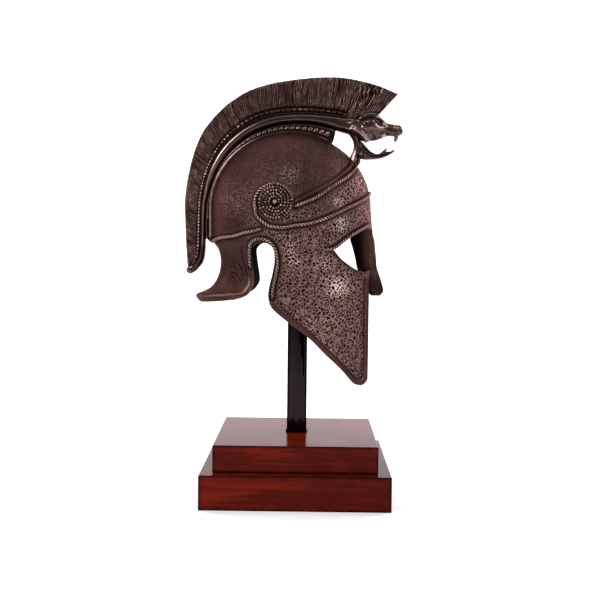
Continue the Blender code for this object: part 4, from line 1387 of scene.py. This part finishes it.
PATINA_AND_SHADE = (0.016, 0.0085, 0.0080)
DULL = (0.097, 0.050, 0.044)
BRIGHT = (0.520, 0.325, 0.285)
PAINTED_GLINT = (0.860, 0.660, 0.600)
WHITE = (1, 1, 1)
WOOD_DEEP = (0.052, 0.0040, 0.0017)
WOOD_RED = (0.134, 0.0096, 0.0034)
WOOD_CLOUD = (0.046, 0.0034, 0.0015)
WOOD_FLECK = (0.016, 0.0018, 0.0010)
WOOD_EDGE = (0.006, 0.0025, 0.0018)
POST_DEEP = (0.0120, 0.0085, 0.0092)
POST_LINE = (0.0230, 0.0165, 0.0178)
INSIDE_DEEP = (0.0035, 0.003, 0.003)
INSIDE_PALE = (0.010, 0.008, 0.008)


def darker(colour, share):
    return tuple(channel * share for channel in colour)


def finish_metal(tree, surface, colour, rough, coat=0.0):
    tree.links.new(colour, surface.inputs["Base Color"])
    if isinstance(rough, float):
        surface.inputs["Roughness"].default_value = rough
    else:
        tree.links.new(rough, surface.inputs["Roughness"])
    surface.inputs["Metallic"].default_value = 1.0
    surface.inputs["Specular Tint"].default_value = (0.62, 0.52, 0.50, 1)
    surface.inputs["Coat Weight"].default_value = coat
    surface.inputs["Coat Roughness"].default_value = 0.22


def cast_bronze(name, rough, flat, shine, coat=0.0, bright=BRIGHT):
    """Satin bronze, nearly black in its grooves and rubbed bright on its crests; where the relief is raised
    towards the rear, that brightness is a painted highlight.
    """
    material, tree, surface = new_material(name)
    raised = attribute(tree, "relief")
    patches = step_node(tree, noise(tree, 38, 4, 0.6), 0.35, 0.70)
    grain = noise(tree, 900, 2, 0.6)
    body = mix_colours(tree, patches, darker(DULL, 0.55 * flat), darker(DULL, 0.90 * flat))
    groove = step_node(tree, raised, 0.18, 0.52, 1.0, 0.0)
    shade = mix_colours(tree, times(tree, groove, 0.93), body, darker(PATINA_AND_SHADE, 0.6))
    # Crests rubbed bright, and painted highlights where the relief is raised towards the rear
    rubbed = step_node(tree, raised, 0.60, 0.95)
    rubbed = times(tree, rubbed, step_node(tree, noise(tree, 130, 3, 0.6), 0.25, 0.75, 0.35, 1.0))
    edge = edge_wear(tree)
    share = most(tree, times(tree, rubbed, shine), edge)
    colour = mix_colours(tree, share, shade, bright)
    finish_metal(tree, surface, colour, step_node(tree, grain, 0.2, 0.8, rough - 0.05, rough + 0.08), coat)
    add_bump(tree, surface, grain, 0.00012, 0.5)
    return material


def shell_bronze():
    """Pitted bronze: coarse pits and worn ridges on the cheeks, fine ones on the bowl, smooth by the trim,
    with painted highlights round given places, painted shade beside the ropes and a painted shadow on the
    nose guard.
    """
    material, tree, surface = new_material("pitted_bronze")
    coarse, fine, shine = attribute(tree, "coarse"), attribute(tree, "fine"), attribute(tree, "shine")
    calm, halo = attribute(tree, "calm"), attribute(tree, "halo")
    shaken = shaken_place(tree, 240, 0.0034)
    wall = cell_walls(tree, 205, shaken)
    pit = step_node(tree, wall, 0.07, 0.20)
    crest = step_node(tree, wall, 0.02, 0.12, 1.0, 0.0)
    kept = step_node(tree, noise(tree, 75, 2, 0.6), 0.22, 0.36)
    pit = times(tree, pit, times(tree, kept, coarse))
    close = cell_walls(tree, 340, shaken_place(tree, 420, 0.0022))
    dot = step_node(tree, close, 0.10, 0.26)
    dot = times(tree, dot, times(tree, fine, 0.85))
    hollow = most(tree, pit, dot)
    lumps = noise(tree, 230, 4, 0.62, shaken)
    skin = times(tree, lumps, minus(tree, 1.0, calm))

    tone = step_node(tree, noise(tree, 14, 3, 0.6), 0.3, 0.7)
    body = mix_colours(tree, tone, darker(DULL, 0.48), darker(DULL, 0.72))
    lifted = mix_colours(tree, times(tree, coarse, 0.60), body, darker(DULL, 2.3))
    smooth = mix_colours(tree, times(tree, attribute(tree, "neck"), 0.8), lifted, darker(DULL, 0.46))
    # Painted shade beside the ropes and dark patina in the engraved lines
    shaded = mix_colours(tree, times(tree, halo, 0.92), smooth, darker(PATINA_AND_SHADE, 0.6))
    shaded = mix_colours(tree, times(tree, attribute(tree, "line"), 0.45), shaded, BRIGHT)
    # Pit crests worn bright, and painted highlights round the given places, paler where those are strongest
    specks = step_node(tree, noise(tree, 330, 3, 0.65, shaken), 0.42, 0.62)
    specks = most(tree, specks, times(tree, crest, coarse))
    area = plus(tree, times(tree, coarse, 0.34), times(tree, shine, 0.95))
    worn_and_highlight = times(tree, times(tree, specks, area), minus(tree, 1.0, calm))
    worn_and_highlight = times(tree, worn_and_highlight, minus(tree, 1.0, hollow, clamp=True), clamp=True)
    bright = mix_colours(tree, worn_and_highlight, shaded, BRIGHT)
    gleam = times(tree, worn_and_highlight, step_node(tree, shine, 0.30, 0.95), clamp=True)
    bright = mix_colours(tree, gleam, bright, PAINTED_GLINT)
    edged = mix_colours(tree, edge_wear(tree), bright, BRIGHT)
    pitted = mix_colours(tree, times(tree, hollow, 0.92), edged, darker(PATINA_AND_SHADE, 0.35))
    # Painted shadow on the nose guard's rear and lower end
    colour = mix_colours(tree, times(tree, attribute(tree, "guard"), 0.95), pitted, darker(PATINA_AND_SHADE, 0.2))
    rough = plus(tree, times(tree, hollow, 0.30), step_node(tree, coarse, 0.0, 0.8, 0.52, 0.40))
    finish_metal(tree, surface, colour, rough)
    height = minus(tree, times(tree, skin, 0.55), hollow)
    add_bump(tree, surface, height, 0.0013, 0.9)
    return material


def inside_painted_shade():
    """The helmet's inside: matt metal, painted near black as shade."""
    material, tree, surface = new_material("inside_painted_shade")
    grain = noise(tree, 160, 4, 0.6)
    colour = mix_colours(tree, grain, INSIDE_DEEP, INSIDE_PALE)
    tree.links.new(colour, surface.inputs["Base Color"])
    surface.inputs["Roughness"].default_value = 0.75
    surface.inputs["Metallic"].default_value = 0.3
    add_bump(tree, surface, grain, 0.0004, 0.6)
    return material


def hair_bronze():
    """Cast hair: nearly black in the grooves, with bright broken strands."""
    material, tree, surface = new_material("hair_bronze")
    raised = attribute(tree, "relief")
    streaks = step_node(tree, noise(tree, 120, 3, 0.65), 0.42, 0.68, 0.15, 1.0)
    shade = mix_colours(tree, step_node(tree, raised, 0.17, 0.58), darker(PATINA_AND_SHADE, 0.35), darker(DULL, 0.66))
    share = times(tree, step_node(tree, raised, 0.45, 0.90, 0.0, 0.60), streaks)
    colour = mix_colours(tree, share, shade, darker(BRIGHT, 0.85))
    finish_metal(tree, surface, colour, 0.36)
    add_bump(tree, surface, noise(tree, 700, 2, 0.6), 0.00025, 0.6)
    return material


def wood(name, half, low, high):
    """Red varnished wood: streaks along the grain, with edges rubbed black."""
    material, tree, surface = new_material(name)
    parts = add_node(tree, "ShaderNodeSeparateXYZ")
    tree.links.new(place_of(tree), parts.inputs[0])
    normal = add_node(tree, "ShaderNodeSeparateXYZ")
    geometry = add_node(tree, "ShaderNodeNewGeometry")
    tree.links.new(geometry.outputs["Normal"], normal.inputs[0])
    sideways = step_node(tree, size_of(tree, normal.outputs["X"]), 0.5, 0.8)
    straight = minus(tree, 1.0, sideways)

    def swapped(first, second):
        return plus(tree, times(tree, parts.outputs[first], straight),
            times(tree, parts.outputs[second], sideways),
        )

    along, across = swapped("X", "Y"), swapped("Y", "X")
    grain_place = add_node(tree, "ShaderNodeCombineXYZ")
    tree.links.new(times(tree, along, 7.0), grain_place.inputs["X"])
    tree.links.new(times(tree, across, 60.0), grain_place.inputs["Y"])
    tree.links.new(times(tree, parts.outputs["Z"], 110.0), grain_place.inputs["Z"])
    streaks = noise(tree, 1.0, 5, 0.62, grain_place.outputs[0], 0.6)
    pores = add_node(tree, "ShaderNodeVectorMath", operation="MULTIPLY")
    tree.links.new(grain_place.outputs[0], pores.inputs[0])
    pores.inputs[1].default_value = (5, 6, 6)
    fleck = noise(tree, 1.0, 3, 0.7, pores.outputs[0])
    cloud = noise(tree, 9, 3, 0.6)
    red = mix_colours(tree, step_node(tree, streaks, 0.30, 0.70), WOOD_DEEP, WOOD_RED)
    red = mix_colours(tree, step_node(tree, cloud, 0.45, 0.70, 0.0, 0.75), red, WOOD_CLOUD)
    red = mix_colours(tree, step_node(tree, fleck, 0.56, 0.70, 0.0, 0.60), red, WOOD_FLECK)

    reach_x = minus(tree, half, size_of(tree, parts.outputs["X"]))
    reach_y = minus(tree, half, size_of(tree, parts.outputs["Y"]))
    up = minus(tree, high, parts.outputs["Z"])
    down = minus(tree, parts.outputs["Z"], low)
    reach_z = least(tree, up, down)
    smaller = least(tree, reach_x, reach_y)
    larger = most(tree, reach_x, reach_y)
    edge = most(tree, smaller, least(tree, larger, reach_z))
    ragged = plus(tree, edge, times(tree, noise(tree, 60, 4, 0.7), -0.006))
    rubbed = step_node(tree, ragged, -0.0038, 0.0030, 1.0, 0.0)
    colour = mix_colours(tree, times(tree, rubbed, 0.93), red, WOOD_EDGE)
    tree.links.new(colour, surface.inputs["Base Color"])
    tree.links.new(step_node(tree, fleck, 0.3, 0.8, 0.13, 0.20), surface.inputs["Roughness"])
    surface.inputs["Specular IOR Level"].default_value = 0.12
    surface.inputs["IOR"].default_value = 1.22
    add_bump(tree, surface, streaks, 0.00018, 0.5)
    return material


def post_metal():
    """Near-black polished metal with faint drawn lines."""
    material, tree, surface = new_material("post_metal")
    stretch = add_node(tree, "ShaderNodeMapping")
    stretch.inputs["Scale"].default_value = (900, 900, 6)
    tree.links.new(place_of(tree), stretch.inputs["Vector"])
    lines = noise(tree, 1.0, 2, 0.6, stretch.outputs[0])
    colour = mix_colours(tree, lines, POST_DEEP, POST_LINE)
    tree.links.new(colour, surface.inputs["Base Color"])
    tree.links.new(step_node(tree, lines, 0.2, 0.8, 0.10, 0.15), surface.inputs["Roughness"])
    surface.inputs["Metallic"].default_value = 1.0
    surface.inputs["Specular Tint"].default_value = (0.30, 0.27, 0.29, 1)
    add_bump(tree, surface, lines, 0.00005, 0.4)
    return material


def dress(piece, material, slot, *nodes):
    piece.data.materials.clear()
    piece.data.materials.append(material)
    if nodes:
        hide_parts(*nodes)
    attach(piece, "root")


# The pieces
shell = make_shell()
finish_shell(shell)
dress(shell, shell_bronze(), "shell_bronze", "helmet_shell")
shell.data.materials.append(inside_painted_shade())
shell.data.polygons.foreach_set("material_index", (kinds_of(shell.data) == INNER).astype(np.int32))

TRIM = cast_bronze("trim_bronze", 0.36, 0.72, 0.7)
POLISHED = cast_bronze("serpent_bronze", 0.27, 1.05, 0.75, 0.4)
BEADED = cast_bronze("bead_bronze", 0.32, 0.75, 0.9, 0.0, (0.58, 0.385, 0.335))
dress(make_hair(), hair_bronze(), "hair_bronze", "crest_brush")
dress(make_bead_band(), BEADED, "trim_bronze", "crest_band")
dress(make_saddle(), TRIM, "trim_bronze", "crest_saddle")
dress(make_serpent(), POLISHED, "trim_bronze", "serpent")
for hand, side in SIDES:
    dress(make_lobe_row(f"lobes_{hand}", side), BEADED, "trim_bronze", f"bead_row_{hand}")
    dress(make_rosette(f"coil_{hand}", side), BEADED, "trim_bronze", f"rosette_{hand}")
for rope in ROPE_ROWS:
    look = TRIM if rope in SMOOTH_STRANDS else BEADED
    if rope in JOINED_ROPES:
        dress(strand_piece(f"{rope}_cast", rope, 1), look, "trim_bronze", rope)
        continue
    for hand, side in SIDES:
        dress(strand_piece(f"{rope}_cast_{hand}", rope, side), look, "trim_bronze", f"{rope}_{hand}")

for hand, side in SIDES:
    rim_strand = eye_rim(side)
    rim_strand.name = f"eye_rim_{hand}"
    dress(rim_strand, TRIM, "trim_bronze")

nodes = frame["nodes"]
nodes["base"].data.materials[0] = wood("base_wood", BASE_WIDTH / 2, 0, BASE_HEIGHT)
nodes["plinth"].data.materials[0] = wood("plinth_wood", PLINTH_WIDTH / 2, BASE_HEIGHT + GAP, PLINTH_TOP)
nodes["post"].data.materials[0] = post_metal()


# The floor, the light and the camera
def plain(name, colour, rough):
    material, _, surface = new_material(name)
    surface.inputs["Base Color"].default_value = (*colour, 1)
    surface.inputs["Roughness"].default_value = rough
    return material


def make_floor():
    """A pale sweep that rises behind the object."""
    profile = [(-3.0, 0), (-1.0, 0)]
    for turn in np.radians(np.linspace(0, 90, 48)):
        profile.append((0.9 + 0.9 * math.sin(turn), 0.9 - 0.9 * math.cos(turn)))
    profile.append((1.8, 3.2))
    rings = [[(x, y, z) for y, z in profile] for x in (-4.0, 4.0)]
    points = np.array(rings).reshape(-1, 3)
    floor = mesh_piece("floor", points, grid_faces(2, len(profile), False))
    floor.data.materials.append(plain("pale_floor", (0.86, 0.86, 0.87), 0.9))


def area_light(name, place, target, size, power, colour):
    light = bpy.data.lights.new(name, "AREA")
    light.shape = "RECTANGLE"
    light.size, light.size_y = size
    light.energy = power
    light.color = colour
    lamp = bpy.data.objects.new(name, light)
    bpy.context.collection.objects.link(lamp)
    lamp.location = place
    lamp.rotation_euler = (Vector(target) - Vector(place)).to_track_quat("-Z", "Y").to_euler()


make_floor()
world = bpy.data.worlds.new("studio")
bpy.context.scene.world = world
world.use_nodes = True
world.node_tree.nodes["Background"].inputs["Color"].default_value = (0.95, 0.96, 1.0, 1)
world.node_tree.nodes["Background"].inputs["Strength"].default_value = 0.18
# Name, place, target, size, watts and colour
LIGHTS = (
    ("key", (-1.30, -1.40, 1.65), (0, 0, 0.45), (0.7, 0.7), 38, WHITE),
    ("second", (1.50, -1.35, 1.75), (0, 0, 0.40), (0.7, 0.9), 24, WHITE),
    ("rim_back", (1.3, 0.9, 1.0), (0, 0, 0.45), (0.5, 1.0), 16, (0.88, 0.86, 1.0)),
    ("rim_left", (-1.4, 0.8, 0.9), (0, 0, 0.45), (0.4, 1.0), 16, (0.94, 0.90, 1.0)),
    ("top", (0.1, -0.5, 2.1), (0.05, 0, 0.45), (1.2, 0.6), 4, WHITE),
    ("strip_left", (-1.15, -1.35, 0.25), (0, 0, 0.25), (0.10, 1.0), 2.2, WHITE),
    ("strip_right", (1.45, -1.15, 0.25), (0, 0, 0.25), (0.10, 1.0), 2.2, WHITE),
    ("sweep", (0, 0.9, 2.9), (0, 1.3, 0.6), (3.5, 0.8), 72, WHITE),
)
for row in LIGHTS:
    area_light(*row)

camera = bpy.data.cameras.new("camera")
camera.lens = 60.03
camera.sensor_width = 36
camera.clip_start = 0.05
eye = bpy.data.objects.new("camera", camera)
bpy.context.collection.objects.link(eye)
CAMERA_PLACE = (0.0179, -1.5644, 0.3860)
yaw, pitch, roll = 0.0093, 0.0560, 0.0105
right = Vector((math.cos(yaw), math.sin(yaw), 0))
ahead = Vector((-math.sin(yaw) * math.cos(pitch), math.cos(yaw) * math.cos(pitch), -math.sin(pitch)))
above = right.cross(ahead)
level, upright = right, above
right = level * math.cos(roll) + upright * math.sin(roll)
above = upright * math.cos(roll) - level * math.sin(roll)
turn = Matrix((right, above, -ahead)).transposed().to_4x4()
eye.matrix_world = Matrix.Translation(CAMERA_PLACE) @ turn
bpy.context.scene.camera = eye
bpy.context.scene.view_settings.view_transform = "Standard"
